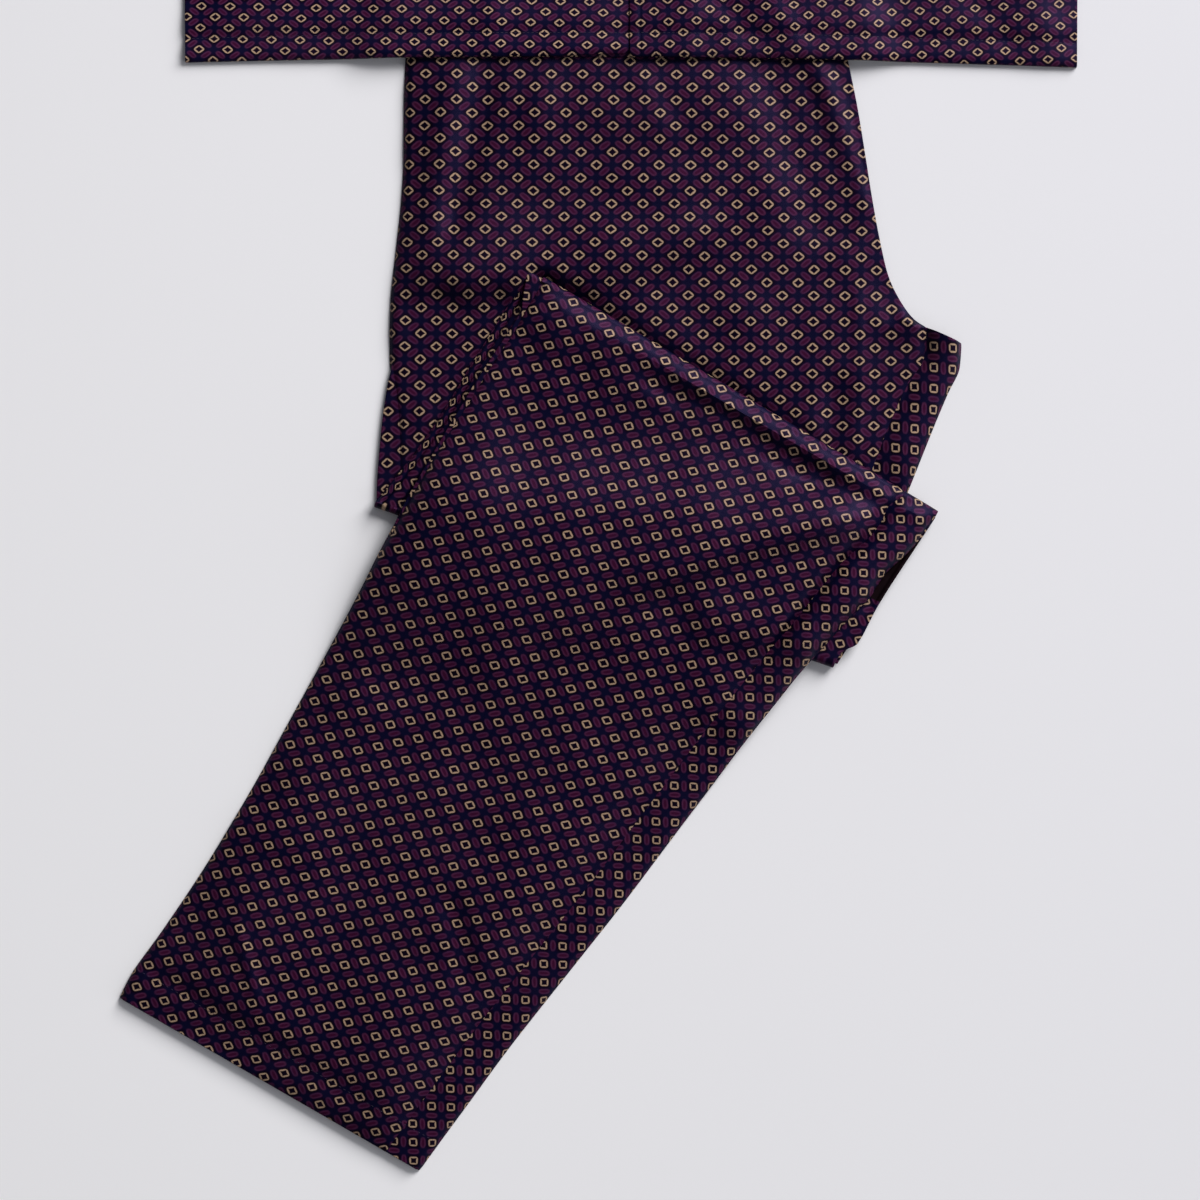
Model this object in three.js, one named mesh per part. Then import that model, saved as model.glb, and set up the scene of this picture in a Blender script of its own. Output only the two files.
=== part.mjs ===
// A pyjama set laid flat: a button-through shirt, face up, with its hem lapping over the waist of a
// pair of trousers. The trousers are folded in half down the centre, one leg on the other, and then
// folded twice across, once up and once down, so that the lower legs lie slanting on the upper legs.
// Millimetres, +Z up, the floor at z = 0, +Y towards the shirt's neck.
import * as THREE from "three";

// Cloth
const CLOTH = 1.0; // one wall of cloth
const GAP = 0.3; // air between pieces that touch
const LAYER = 0.9; // one of the hidden layers under the leg panel that shows
const HIDDEN_LAYERS = 3;
const LAYER_ROUND = 0.6; // how far each hidden layer's rounded edge stands out
const UNDER = LAYER * HIDDEN_LAYERS;
const PANEL_LOW = UNDER + GAP; // the leg panel's height in the folded stack
const STACK = PANEL_LOW + CLOTH; // the height of one thickness of the folded trousers
const STEP = STACK + GAP; // from the foot of one thickness to the foot of the next
const AIR = 2.2; // slack air under the leg panel that shows, away from its edges
const AIR_REACH = 30; // how far in from the edges it takes to rise

// Trousers, folded in half: the leg's outer edge is the fold at the side, the inner edge the inseam
const WAISTBAND_DEPTH = 36;
const FOLD_LEAN = THREE.MathUtils.degToRad(30); // the lower leg's slant from straight down
const LOWER_LEG_LENGTH = 492;
const STRIP_SHOWS = 23; // half of the inseam strip's width, up to where it turns under
const SEAM_HALF_GAP = GAP / 2;
const DRAPE_START = 5; // how far past the stack's edge the cloth stays level
const DRAPE_REACH = 28; // how far the middle of the legs takes to come down to the floor
const LOWER_DRAPE_REACH = 62; // and the lower legs, which come down more gently
const CREASE_CLEAR = 22; // the cloth lies flat this near the legs that lie on it
const CREASE_FADE = 24;

// Shirt
const HEM_WIDTH = 534;
const CHEST_WIDTH = 540;
const SHIRT_LENGTH = 700; // hem to the neck's side point
const SHOULDER_WIDTH = 450;
const SHOULDER_DROP = 36;
const ARMHOLE_DEPTH = 235;
const ARMHOLE_HOLLOW = 16; // how far the armhole curves in past the shoulder's end
const NECK_WIDTH = 170;
const FRONT_NECK_DROP = 150;
const BACK_NECK_DROP = 20;
const OVERLAP = 31; // how far one front lies over the other
const OVERLAP_EDGE = -0.6; // where the upper front's edge runs
const UNDER_FRONT_INSET = 2; // how far inside the overlap the lower front ends
const UNDER_FRONT_RISE = 1.8; // the lower front's hem shows this much shorter
const HEM_DEPTH = 15;
const HEM_TURN = 0.4; // the turned-up hem's extra thickness
const SLEEVE_LENGTH = 560;
const SLEEVE_LEAN = THREE.MathUtils.degToRad(38);
const CUFF_WIDTH = 132;
const LAP_LIFT = 0.5; // slack air under the shirt where it lies on the trousers
const LAP_REACH = 34;

// Buttons
const BUTTON_COUNT = 5;
const BUTTON_RADIUS = 6.5;
const BUTTON_HEIGHT = 2.4;
const BUTTON_INSET = 15;
const LOWEST_BUTTON = 112;
const HIGHEST_BUTTON = 524;

const colours = { trousers: 0x21182f, shirt: 0x2b1a36, strip: 0x2a1c3a, hidden: 0x191324, button: 0x1b1420 };
const CLOTH_ROUGHNESS = 0.75;
const BUTTON_ROUGHNESS = 0.35;

const vec = (x, y, z = 0) => new THREE.Vector3(x, y, z);
const mix = (a, b, t) => a + (b - a) * t;
const mixPoint = (a, b, t) => [mix(a[0], b[0], t), mix(a[1], b[1], t)];
const clamp01 = (t) => Math.min(1, Math.max(0, t));
const ease = (t) => 0.5 - 0.5 * Math.cos(Math.PI * clamp01(t));

// The upper legs, a row for each section across them: the outer edge, the seam between the leg
// panel and the inseam strip, the strip's folded inner edge, and how far the hidden layers stick
// out past the outer edge. Above the crotch there is no strip and the seam is the seat seam.
const upperRows = [
  { name: "waist", outer: [-126, 92], seam: [112, 92], peek: 1 },
  { name: "high_hip", outer: [-132, 46], seam: [121, 46], peek: 1 },
  { name: "lap", outer: [-135, 0], seam: [129.5, 0], peek: 1 },
  { name: "hip", outer: [-136, -30], seam: [135.5, -30], peek: 1 },
  { name: "low_hip", outer: [-136.2, -60], seam: [140.4, -60], peek: 1 },
  { name: "seat_high", outer: [-137.5, -84], seam: [144.2, -84], peek: 1 },
  { name: "seat", outer: [-140, -108], seam: [148.6, -108], peek: 1 },
  { name: "curve_top", outer: [-142.5, -130], seam: [153.8, -130], peek: 1 },
  { name: "curve", outer: [-144, -146], seam: [161.5, -146], peek: 1 },
  { name: "curve_foot", outer: [-144.3, -156], seam: [169, -156], peek: 1 },
  { name: "crotch", outer: [-144.5, -162], seam: [177, -161.5], inner: [198, -171], peek: 1 },
  { name: "gusset", outer: [-144.5, -180], seam: [175.5, -179], inner: [196.8, -185], peek: 1 },
  { name: "thigh_top", outer: [-142.5, -196], seam: [166, -195], inner: [190, -200], peek: 4 },
  { name: "thigh", outer: [-140.5, -216], seam: [156.5, -215], inner: [182, -219], peek: 8 },
  { name: "knee_top", outer: [-139.8, -240], seam: [143, -250], inner: [168, -254], peek: 11 },
  { name: "knee", outer: [-139.8, -254], seam: [124, -298], inner: [149, -303], peek: 12 },
  { name: "first_fold", outer: [-139.8, -269.3], seam: [100, -353.2], inner: [123.7, -361.6], peek: 13 },
];

// The lower leg from the second fold to the hem: the distance down the leg, its width, how far the
// outer edge bows out, and how far the hidden layers stick out past it. legCorner is where the line
// of its outer edge meets the fold, whose own ends are drawn out a little past the leg's edges.
const legCorner = [-56.7, -138.6];
const secondFoldOuter = [-54, -134.8];
const secondFoldInner = [181.5, -274.6];
const lowerRows = [
  { along: 0, width: 269, bow: 0, peek: 9 },
  { along: 8, width: 270, bow: 0, peek: 3.5 },
  { along: 16, width: 271, bow: 0, peek: 1 },
  { along: 27, width: 270, bow: 0, peek: 1 },
  { along: 42, width: 265.5, bow: 1, peek: 1 },
  { along: 60, width: 261, bow: 2, peek: 1 },
  { along: 80, width: 258, bow: 2.5, peek: 1 },
  { along: 100, width: 255, bow: 3, peek: 1 },
  { along: 120, width: 251, bow: 3, peek: 1 },
  { along: 140, width: 248, bow: 3, peek: 1 },
  { along: 160, width: 245, bow: 3, peek: 1 },
  { along: 182, width: 242, bow: 2.5, peek: 1 },
  { along: 208, width: 239, bow: 1, peek: 1 },
  { along: 240, width: 235, bow: 0, peek: 1 },
  { along: 290, width: 229, bow: -1, peek: 1 },
  { along: 345, width: 221, bow: -2, peek: 1 },
  { along: 400, width: 213, bow: -1, peek: 1 },
  { along: 445, width: 208, bow: 2, peek: 1 },
  { along: 477, width: 204.5, bow: 5, peek: 1 },
  { along: LOWER_LEG_LENGTH, width: 203, bow: 4.2, peek: 1 },
];
const downLeg = [-Math.sin(FOLD_LEAN), -Math.cos(FOLD_LEAN)];
const acrossLeg = [Math.cos(FOLD_LEAN), -Math.sin(FOLD_LEAN)];
const lowerPoint = (along, across) => [
  legCorner[0] + along * downLeg[0] + across * acrossLeg[0],
  legCorner[1] + along * downLeg[1] + across * acrossLeg[1],
];

// The middle of the legs, which turns back up between the folds: the share of the way from the
// first fold to the second, and how far its layers stick out past the outer and the inner edge.
const middleRows = [
  { share: 0, outer: 13, inner: 1 },
  { share: 0.1, outer: 10.6, inner: 1 },
  { share: 0.14, outer: 10, inner: 3.2 },
  { share: 0.2, outer: 9, inner: 3 },
  { share: 0.4, outer: 7.5, inner: 1 },
  { share: 0.7, outer: 8.6, inner: 1 },
  { share: 1, outer: 9, inner: 1 },
];

// Soft folds in the cloth that shows, a row for each: its two ends, how far its middle bows to the
// left of the way from the first end to the second, its reach to the left and right, and its height.
const upperCreases = [
  { from: [-108, 12], to: [-124, -104], bow: 0, left: 16, right: 12, height: 2.4 },
  { from: [-92, 16], to: [-116, -128], bow: 0, left: 15, right: 12, height: -3.0 },
  { from: [-124, -104], to: [50, -88], bow: -14, left: 52, right: 18, height: 3.6 },
  { from: [86, 14], to: [136, -110], bow: 2, left: 14, right: 32, height: -2.6 },
  { from: [107, 10], to: [147, -98], bow: 0, left: 14, right: 12, height: 2.0 },
  { from: [41, -4], to: [82, -104], bow: 4, left: 30, right: 36, height: 1.8 },
  { from: [-50, 16], to: [-60, -50], bow: 2, left: 18, right: 14, height: 1.2 },
  { from: [150, -166], to: [198, -180], bow: 0, left: 10, right: 28, height: 1.4 },
];
const lowerCreases = [
  { from: [-56, -150], to: [174, -290], bow: 0, left: 14, right: 16, height: 1.6 },
  { from: [-80, -142], to: [26, -192], bow: 0, left: 12, right: 42, height: 2.0 },
  { from: [8, -190], to: [140, -268], bow: 0, left: 12, right: 14, height: -2.2 },
  { from: [-96, -206], to: [60, -226], bow: -4, left: 26, right: 26, height: -1.8 },
  { from: [-140, -264], to: [164, -280], bow: 6, left: 32, right: 60, height: 4.0 },
  { from: [30, -306], to: [146, -270], bow: 5, left: 24, right: 14, height: 2.6 },
  { from: [40, -345], to: [126, -358], bow: 0, left: 26, right: 18, height: 2.6 },
  { from: [8, -316], to: [66, -362], bow: 0, left: 16, right: 16, height: -1.8 },
  { from: [10, -390], to: [-170, -650], bow: 0, left: 34, right: 90, height: 2.8 },
  { from: [-60, -320], to: [-150, -460], bow: 6, left: 26, right: 34, height: 1.4 },
];
const shirtCreases = [
  { from: [62, 60], to: [104, 2], bow: 2, left: 12, right: 14, height: 1.6 },
  { from: [216, 66], to: [246, 4], bow: 2, left: 10, right: 16, height: 1.5 },
  { from: [-250, 150], to: [-80, 250], bow: 14, left: 24, right: 26, height: 1.8 },
  { from: [60, 330], to: [236, 420], bow: -12, left: 26, right: 24, height: 1.8 },
  { from: [-226, 400], to: [-100, 330], bow: 10, left: 22, right: 24, height: 1.6 },
  { from: [60, 200], to: [240, 160], bow: 10, left: 24, right: 22, height: 1.4 },
];

function creaseHeight(crease, x, y) {
  const [dx, dy] = [crease.to[0] - crease.from[0], crease.to[1] - crease.from[1]];
  const length = Math.hypot(dx, dy);
  const [px, py] = [x - crease.from[0], y - crease.from[1]];
  const along = (px * dx + py * dy) / (length * length);
  const bowed = crease.bow * 4 * along * (1 - along);
  const offset = (dx * py - dy * px) / length - bowed;
  const reach = offset > 0 ? crease.left : crease.right;
  const ends = ease((along + 0.12) / 0.3) * ease((1.12 - along) / 0.3);
  return crease.height * ends * (1 - ease(Math.abs(offset) / reach));
}
const relief = (creases, x, y) => creases.reduce((sum, c) => sum + creaseHeight(c, x, y), 0);

// Distance of a point outside a polygon, 0 inside it.
function distanceOutside(polygon, x, y) {
  let inside = false;
  let best = Infinity;
  polygon.forEach(([ax, ay], i) => {
    const [bx, by] = polygon[(i + 1) % polygon.length];
    if (ay > y !== by > y && x < ((bx - ax) * (y - ay)) / (by - ay) + ax) inside = !inside;
    const [ex, ey] = [bx - ax, by - ay];
    const t = clamp01(((x - ax) * ex + (y - ay) * ey) / (ex * ex + ey * ey));
    best = Math.min(best, Math.hypot(x - ax - ex * t, y - ay - ey * t));
  });
  return inside ? 0 : best;
}
const innerOf = (row) => row.inner ?? row.seam;

// A point on the way from one point to another, at a share of it and some distance on.
function pointOn(from, to, share, on = 0) {
  const length = Math.hypot(to[0] - from[0], to[1] - from[1]);
  return mixPoint(from, to, share + on / length);
}

const firstFold = upperRows[upperRows.length - 1];
const upperOutline = [
  ...upperRows.map((row) => [row.outer[0] - row.peek, row.outer[1]]),
  ...[...upperRows].reverse().map(innerOf),
];
const middleOutline = [
  [firstFold.outer[0] - firstFold.peek, firstFold.outer[1]],
  secondFoldOuter,
  secondFoldInner,
  firstFold.inner,
];
const waistTop = upperRows[0].outer[1] + WAISTBAND_DEPTH;
const lapOutline = [
  [upperRows[0].outer[0], waistTop],
  ...upperOutline.slice(0, -1),
  [upperRows[0].seam[0], waistTop],
];
const level = (outline, x, y, reach) =>
  1 - ease((distanceOutside(outline, x, y) - DRAPE_START) / reach);
const onUpper = (x, y, reach) => level(upperOutline, x, y, reach);
const onMiddle = (x, y, reach) => level(middleOutline, x, y, reach);

// Where a layer of the folded legs lies. Each section across the legs is one of five kinds: the
// upper legs, the turn at the first fold, the middle, the turn at the second fold, the lower legs.
// height is the layer's height in one thickness of the trousers, from 0 at its foot to STACK.
const firstAxis = STACK + GAP / 2;
const secondAxis = 2 * firstAxis + GAP / 2;
const sideways = (a, b) => {
  const length = Math.hypot(b[0] - a[0], b[1] - a[1]);
  return [(b[1] - a[1]) / length, -(b[0] - a[0]) / length];
};
const outFirst = sideways(firstFold.outer, firstFold.inner);
const outSecond = sideways(secondFoldInner, secondFoldOuter);

function layerPoint(section, x, y, height) {
  const lowered = STEP * (1 - onUpper(x, y, DRAPE_REACH));
  const lift = height < PANEL_LOW - GAP / 2 ? 0 : section.lift?.(x, y, height, section);
  if (section.kind === "upper") return vec(x, y, height + lift);
  if (section.kind === "first_turn") {
    const radius = firstAxis - height;
    const out = radius * Math.sin(section.angle);
    return vec(x + outFirst[0] * out, y + outFirst[1] * out, firstAxis - radius * Math.cos(section.angle));
  }
  if (section.kind === "middle") return vec(x, y, 2 * firstAxis - height - lowered);
  const radius = GAP / 2 + height;
  if (section.kind === "second_turn") {
    const out = radius * Math.sin(section.angle);
    const z = secondAxis - radius * Math.cos(section.angle) - lowered;
    return vec(x + outSecond[0] * out, y + outSecond[1] * out, z);
  }
  const foot = STEP * (onUpper(x, y, LOWER_DRAPE_REACH) + onMiddle(x, y, LOWER_DRAPE_REACH));
  return vec(x, y, foot + height + lift);
}

// Slack air and creases raise only the layer that shows. They fade towards its edges and where the
// legs above or the shirt lie on it.
function slackAt(x, y, creases, { outer, inner }) {
  const inside = Math.min(Math.hypot(x - outer[0], y - outer[1]), Math.hypot(x - inner[0], y - inner[1]));
  return Math.max(0, AIR * ease(inside / AIR_REACH) + relief(creases, x, y) * ease((inside + 2) / 9));
}
const upperLift = (x, y, height, section) => {
  const clear = ease((distanceOutside(middleOutline, x, y) - CREASE_CLEAR) / CREASE_FADE);
  const underShirt = mix(1, 0.04, ease((y + 28) / 26)) * (1 - ease((y - 15) / 30));
  return slackAt(x, y, upperCreases, section) * clear * underShirt;
};
const lowerLift = (along) => (x, y, height, section) => {
  const ends = ease(along / 9) * ease((LOWER_LEG_LENGTH - along) / 30);
  const hem = along > LOWER_LEG_LENGTH - HEM_DEPTH - 1 && height > PANEL_LOW ? HEM_TURN : 0;
  return slackAt(x, y, lowerCreases, section) * ends + hem;
};

// The sections that every wall of the legs runs through, from the waist to the hem. Each has the
// panel's outer edge, its seam, the strip's inner edge, and the reach of the hidden layers past
// the outer and the inner edge. hasStrip is false above the crotch.
const turnAngles = [0.25, 0.5, 0.75].map((share) => share * Math.PI);
const foldRow = {
  outer: firstFold.outer,
  seam: firstFold.seam,
  inner: firstFold.inner,
  peekOuter: firstFold.peek,
  peekInner: 1,
};
const backRow = {
  outer: secondFoldOuter,
  seam: pointOn(secondFoldInner, secondFoldOuter, 0, STRIP_SHOWS),
  inner: secondFoldInner,
  peekOuter: lowerRows[0].peek,
  peekInner: 1,
};
const middleSection = ({ share, outer, inner }) => ({
  kind: "middle",
  outer: mixPoint(foldRow.outer, backRow.outer, share),
  seam: mixPoint(foldRow.seam, backRow.seam, share),
  inner: mixPoint(foldRow.inner, backRow.inner, share),
  peekOuter: outer,
  peekInner: inner,
});
const sections = [
  ...upperRows.map((row) => ({
    kind: "upper",
    outer: row.outer,
    seam: row.seam,
    inner: innerOf(row),
    peekOuter: row.peek,
    peekInner: 1,
    lift: upperLift,
  })),
  ...turnAngles.map((angle) => ({ ...foldRow, kind: "first_turn", angle })),
  ...middleRows.map(middleSection),
  ...turnAngles.map((angle) => ({ ...backRow, kind: "second_turn", angle })),
  { ...backRow, kind: "lower", lift: lowerLift(0) },
  ...lowerRows.slice(1).map((row) => ({
    kind: "lower",
    outer: lowerPoint(row.along, -row.bow),
    seam: lowerPoint(row.along, row.width - STRIP_SHOWS),
    inner: lowerPoint(row.along, row.width),
    peekOuter: row.peek,
    peekInner: 1,
    lift: lowerLift(row.along),
  })),
];
const hasStrip = (section) => section.inner !== section.seam;

// A closed wall of cloth from two grids of points, its face and its back. rim lists the points of
// its edge between them: the share of the way from the face to the back, and how far it stands out.
function closedWall(face, back, rim = []) {
  const [rows, columns] = [face.length, face[0].length];
  const points = [];
  const add = (point) => points.push(point) - 1;
  const faceAt = face.map((row) => row.map(add));
  const backAt = back.map((row) => row.map(add));
  const triangles = [];
  const quad = (a, b, c, d) => triangles.push(a, b, c, a, c, d);
  for (let j = 0; j < rows - 1; j++) {
    for (let i = 0; i < columns - 1; i++) {
      quad(faceAt[j][i], faceAt[j][i + 1], faceAt[j + 1][i + 1], faceAt[j + 1][i]);
      quad(backAt[j][i], backAt[j + 1][i], backAt[j + 1][i + 1], backAt[j][i + 1]);
    }
  }
  const loop = [];
  for (let i = 0; i < columns - 1; i++) loop.push([0, i]);
  for (let j = 0; j < rows - 1; j++) loop.push([j, columns - 1]);
  for (let i = columns - 1; i > 0; i--) loop.push([rows - 1, i]);
  for (let j = rows - 1; j > 0; j--) loop.push([j, 0]);
  const middleOf = (j, i) => face[j][i].clone().lerp(back[j][i], 0.5);
  const rings = [loop.map(([j, i]) => faceAt[j][i])];
  for (const { share, out } of rim) {
    rings.push(loop.map(([j, i]) => {
      const inward = middleOf(
        Math.min(Math.max(j, 1), Math.max(rows - 2, 0)),
        Math.min(Math.max(i, 1), Math.max(columns - 2, 0)),
      );
      const thickness = face[j][i].clone().sub(back[j][i]).normalize();
      const outward = middleOf(j, i).sub(inward);
      outward.addScaledVector(thickness, -outward.dot(thickness)).normalize();
      return add(face[j][i].clone().lerp(back[j][i], share).addScaledVector(outward, out));
    }));
  }
  rings.push(loop.map(([j, i]) => backAt[j][i]));
  for (let r = 0; r < rings.length - 1; r++) {
    loop.forEach((_, k) => {
      const next = (k + 1) % loop.length;
      quad(rings[r][next], rings[r][k], rings[r + 1][k], rings[r + 1][next]);
    });
  }
  return solidFrom(points, triangles);
}

// A geometry from points and triangles, turned so that its faces point out.
function solidFrom(points, triangles) {
  let volume = 0;
  for (let t = 0; t < triangles.length; t += 3) {
    const [a, b, c] = triangles.slice(t, t + 3).map((k) => points[k]);
    volume += a.dot(b.clone().cross(c));
  }
  if (volume < 0) triangles.reverse();
  const geometry = new THREE.BufferGeometry().setFromPoints(points);
  geometry.setIndex(triangles);
  geometry.computeVertexNormals();
  return geometry;
}

const steps = (count) => Array.from({ length: count + 1 }, (_, k) => k / count);

// Points across a section, from the outer edge to the seam and from the seam to the inner edge.
const PANEL_COLUMNS = 14;
const STRIP_COLUMNS = 3;
function panelPoints({ outer, seam }, gap) {
  return steps(PANEL_COLUMNS).map((share) => pointOn(outer, seam, share, share === 1 ? -gap : 0));
}
function stripPoints({ seam, inner }, gap) {
  return steps(STRIP_COLUMNS).map((share) => pointOn(seam, inner, share, share === 0 ? gap : 0));
}
function hiddenPoints(section) {
  const { outer, seam, inner, peekOuter, peekInner } = section;
  const beyond = (at) => pointOn(outer, seam, 1, at * peekInner);
  return [
    pointOn(outer, seam, 0, -peekOuter),
    ...panelPoints(section, 0),
    ...(hasStrip(section)
      ? [...stripPoints(section, 0).slice(1), pointOn(seam, inner, 1, peekInner)]
      : steps(STRIP_COLUMNS + 1).slice(1).map(beyond)),
  ];
}

function foldedWall(through, pointsAcross, low, high, rim) {
  const grid = (height) =>
    through.map((section) => pointsAcross(section).map(([x, y]) => layerPoint(section, x, y, height)));
  return closedWall(grid(high), grid(low), rim);
}

function legPanel() {
  const across = (section) => panelPoints(section, hasStrip(section) ? SEAM_HALF_GAP : 0);
  return foldedWall(sections, across, PANEL_LOW, STACK);
}

function inseamStrip() {
  return foldedWall(sections.filter(hasStrip), (s) => stripPoints(s, SEAM_HALF_GAP), PANEL_LOW, STACK);
}

// The other layers of both legs as one solid, with the edge of each layer rounded.
function layeredRim(layers) {
  return Array.from({ length: 2 * layers - 1 }, (_, k) => ({
    share: (k + 1) / (2 * layers), out: k % 2 ? 0 : LAYER_ROUND,
  }));
}
const hiddenLayers = () => foldedWall(sections, hiddenPoints, 0, UNDER, layeredRim(HIDDEN_LAYERS));

// All the waistband's layers in one solid, from just above the tops of the legs.
function waistband() {
  const waist = upperRows[0];
  const foot = waist.outer[1] + GAP + 2 * LAYER_ROUND;
  const grid = (high) => [waistTop, mix(foot, waistTop, 0.5), foot].map((y) =>
    steps(6).map((share) => vec(mix(waist.outer[0], waist.seam[0], share), y, high)));
  return closedWall(grid(STACK), grid(0), layeredRim(HIDDEN_LAYERS + 1));
}

// The shirt's height over the trousers' waist, where the panel's own height is added.
const lapFoot = (x, y) => (STEP + LAP_LIFT) * level(lapOutline, x, y, LAP_REACH);
const shirtLift = (x, y) => Math.max(0, relief(shirtCreases, x, y));
const hemLine = (x) => {
  const share = (2 * x) / HEM_WIDTH;
  return 1 - 4.3 * share * share - 1.5 * share;
};
const underarmHeight = SHIRT_LENGTH - SHOULDER_DROP - ARMHOLE_DEPTH;

// Half the shirt's width at a row.
function halfWidth({ body, yoke }) {
  const straight = mix(mix(HEM_WIDTH, CHEST_WIDTH, body), SHOULDER_WIDTH, ease(yoke * 1.6)) / 2;
  return straight - ARMHOLE_HOLLOW * Math.sin(Math.PI * yoke) ** 2;
}
function rowHeight({ body, yoke }, hem, top) {
  return mix(mix(hem, underarmHeight, body), top, yoke);
}

// The top edge of a shirt panel: the shoulder line, and the neckline between its side points.
function topLine(x, neckDrop) {
  const [half, neck] = [SHOULDER_WIDTH / 2, NECK_WIDTH / 2];
  if (Math.abs(x) >= neck) return SHIRT_LENGTH - (SHOULDER_DROP * (Math.abs(x) - neck)) / (half - neck);
  const inward = 1 - Math.abs(x) / neck;
  return SHIRT_LENGTH - neckDrop * (1 - (1 - inward) ** 1.6);
}

// Rows of a shirt panel: shares of the height up to the underarm, then of the height above it.
const bodyShares = [
  0, HEM_DEPTH / underarmHeight, 0.07, 0.13, 0.18, 0.23, 0.28, 0.33, 0.39, 0.47, 0.6, 0.72, 0.86, 1,
];
const yokeShares = [0.14, 0.28, 0.45, 0.62, 0.82, 1];
const shirtRows = [
  ...bodyShares.map((share) => ({ body: share, yoke: 0 })),
  ...yokeShares.map((share) => ({ body: 1, yoke: share })),
];

// A shirt panel over the given places across, each from -1 at one side seam to 1 at the other.
// height is how far it lies above the foot of the shirt, and hemRise how much shorter its hem shows.
function shirtPanel({ places, neckDrop, height, hemRise = () => 0 }) {
  const grid = (face) => [...shirtRows].reverse().map((row) => places.map((place) => {
    const x = halfWidth(row) * place;
    const y = rowHeight(row, hemLine(x), topLine((SHOULDER_WIDTH / 2) * place, neckDrop));
    const atHem = row.body <= bodyShares[1];
    const foot = lapFoot(x, y) + height(x, y);
    return vec(x, y + (row.body ? 0 : hemRise(x)), foot + (face ? CLOTH + (atHem ? HEM_TURN : 0) : 0));
  }));
  return closedWall(grid(true), grid(false));
}

const sidePlaces = [0.19, 0.26, 0.34, 0.42, 0.48, 0.54, 0.6, 0.66, 0.75, 0.87, 1];
const placeOf = (x) => x / (HEM_WIDTH / 2);
const frontHeight = CLOTH + HEM_TURN + GAP;
const lowerFront = (x, y) => frontHeight + shirtLift(x, y);
const upperFront = (x, y) =>
  lowerFront(x, y) + frontHeight * (1 - ease((x - OVERLAP_EDGE - OVERLAP - 3) / 14));
const overlapPlaces = [OVERLAP_EDGE, 10, 21, OVERLAP_EDGE + OVERLAP].map(placeOf);

// A sleeve lying flat: a tube of cloth from the armhole to the open cuff, its fold edges rounded.
const SLEEVE_SLACK = 1.6; // how far its upper wall stands off the lower one midway
const SLEEVE_ROUND = CLOTH * 1.4; // how far in from its fold edges the walls lie flat
function sleeve(side) {
  const along = [Math.cos(SLEEVE_LEAN), -Math.sin(SLEEVE_LEAN)];
  const shoulder = [SHOULDER_WIDTH / 2 + GAP, SHIRT_LENGTH - SHOULDER_DROP];
  const cuffTop = [shoulder[0] + SLEEVE_LENGTH * along[0], shoulder[1] + SLEEVE_LENGTH * along[1]];
  const cuffFoot = [cuffTop[0] + CUFF_WIDTH * along[1], cuffTop[1] - CUFF_WIDTH * along[0]];
  const armhole = shirtRows.filter(({ body }) => body === 1).map((row) =>
    [halfWidth(row) + GAP, rowHeight(row, 0, SHIRT_LENGTH - SHOULDER_DROP)]);
  const high = 2 * CLOTH + GAP + HEM_TURN;
  const stations = [0, 0.06, 0.14, 0.24, 0.36, 0.5, 0.64, 0.78, 0.9, 0.975, 1];
  const loops = stations.map((station) => {
    const line = armhole.map((point, k) => {
      const cuff = mixPoint(cuffFoot, cuffTop, k / (armhole.length - 1));
      return mixPoint(point, cuff, station);
    });
    const [first, last] = [line[0], line[line.length - 1]];
    const [start, end] = [pointOn(first, last, 0, SLEEVE_ROUND), pointOn(first, last, 1, -SLEEVE_ROUND)];
    const inner = [start, ...line.slice(1, -1), end];
    const slack = SLEEVE_SLACK * Math.sin(Math.PI * station) ** 2;
    const crown = (k) => slack * Math.sin((Math.PI * k) / (inner.length - 1));
    const ring = (low, top, rim) => [
      ...inner.map(([x, y]) => vec(x, y, low)),
      vec(...mixPoint(end, last, rim), mix(low, top, 0.3)),
      vec(...mixPoint(end, last, rim), mix(low, top, 0.7)),
      ...[...inner].reverse().map(([x, y], k) => vec(x, y, top + crown(k))),
      vec(...mixPoint(start, first, rim), mix(low, top, 0.7)),
      vec(...mixPoint(start, first, rim), mix(low, top, 0.3)),
    ];
    return { outer: ring(0, high, 1), inner: ring(CLOTH, high - CLOTH, 0.18) };
  });
  return tube(loops, side);
}

// A tube through pairs of rings, an outer and an inner one, open at both ends. side -1 mirrors it.
function tube(loops, side) {
  const points = [];
  const add = (p) => points.push(vec(side * p.x, p.y, p.z)) - 1;
  const outer = loops.map((loop) => loop.outer.map(add));
  const inner = loops.map((loop) => loop.inner.map(add));
  const triangles = [];
  const quad = (a, b, c, d) => triangles.push(a, b, c, a, c, d);
  const count = outer[0].length;
  for (let k = 0; k < count; k++) {
    const next = (k + 1) % count;
    for (let s = 0; s < loops.length - 1; s++) {
      quad(outer[s][k], outer[s][next], outer[s + 1][next], outer[s + 1][k]);
      quad(inner[s][next], inner[s][k], inner[s + 1][k], inner[s + 1][next]);
    }
    quad(outer[0][next], outer[0][k], inner[0][k], inner[0][next]);
    const last = loops.length - 1;
    quad(outer[last][k], outer[last][next], inner[last][next], inner[last][k]);
  }
  return solidFrom(points, triangles);
}

function button(x, y, foot) {
  const [r, h] = [BUTTON_RADIUS, BUTTON_HEIGHT];
  const profile = [
    [0, 0], [r * 0.8, 0], [r, h * 0.35], [r, h * 0.75], [r * 0.9, h], [r * 0.7, h * 0.7], [0, h * 0.7],
  ];
  const geometry = new THREE.LatheGeometry(profile.map(([a, b]) => new THREE.Vector2(a, b)), 20);
  geometry.rotateX(Math.PI / 2);
  geometry.translate(x, y, foot);
  return geometry;
}

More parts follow.
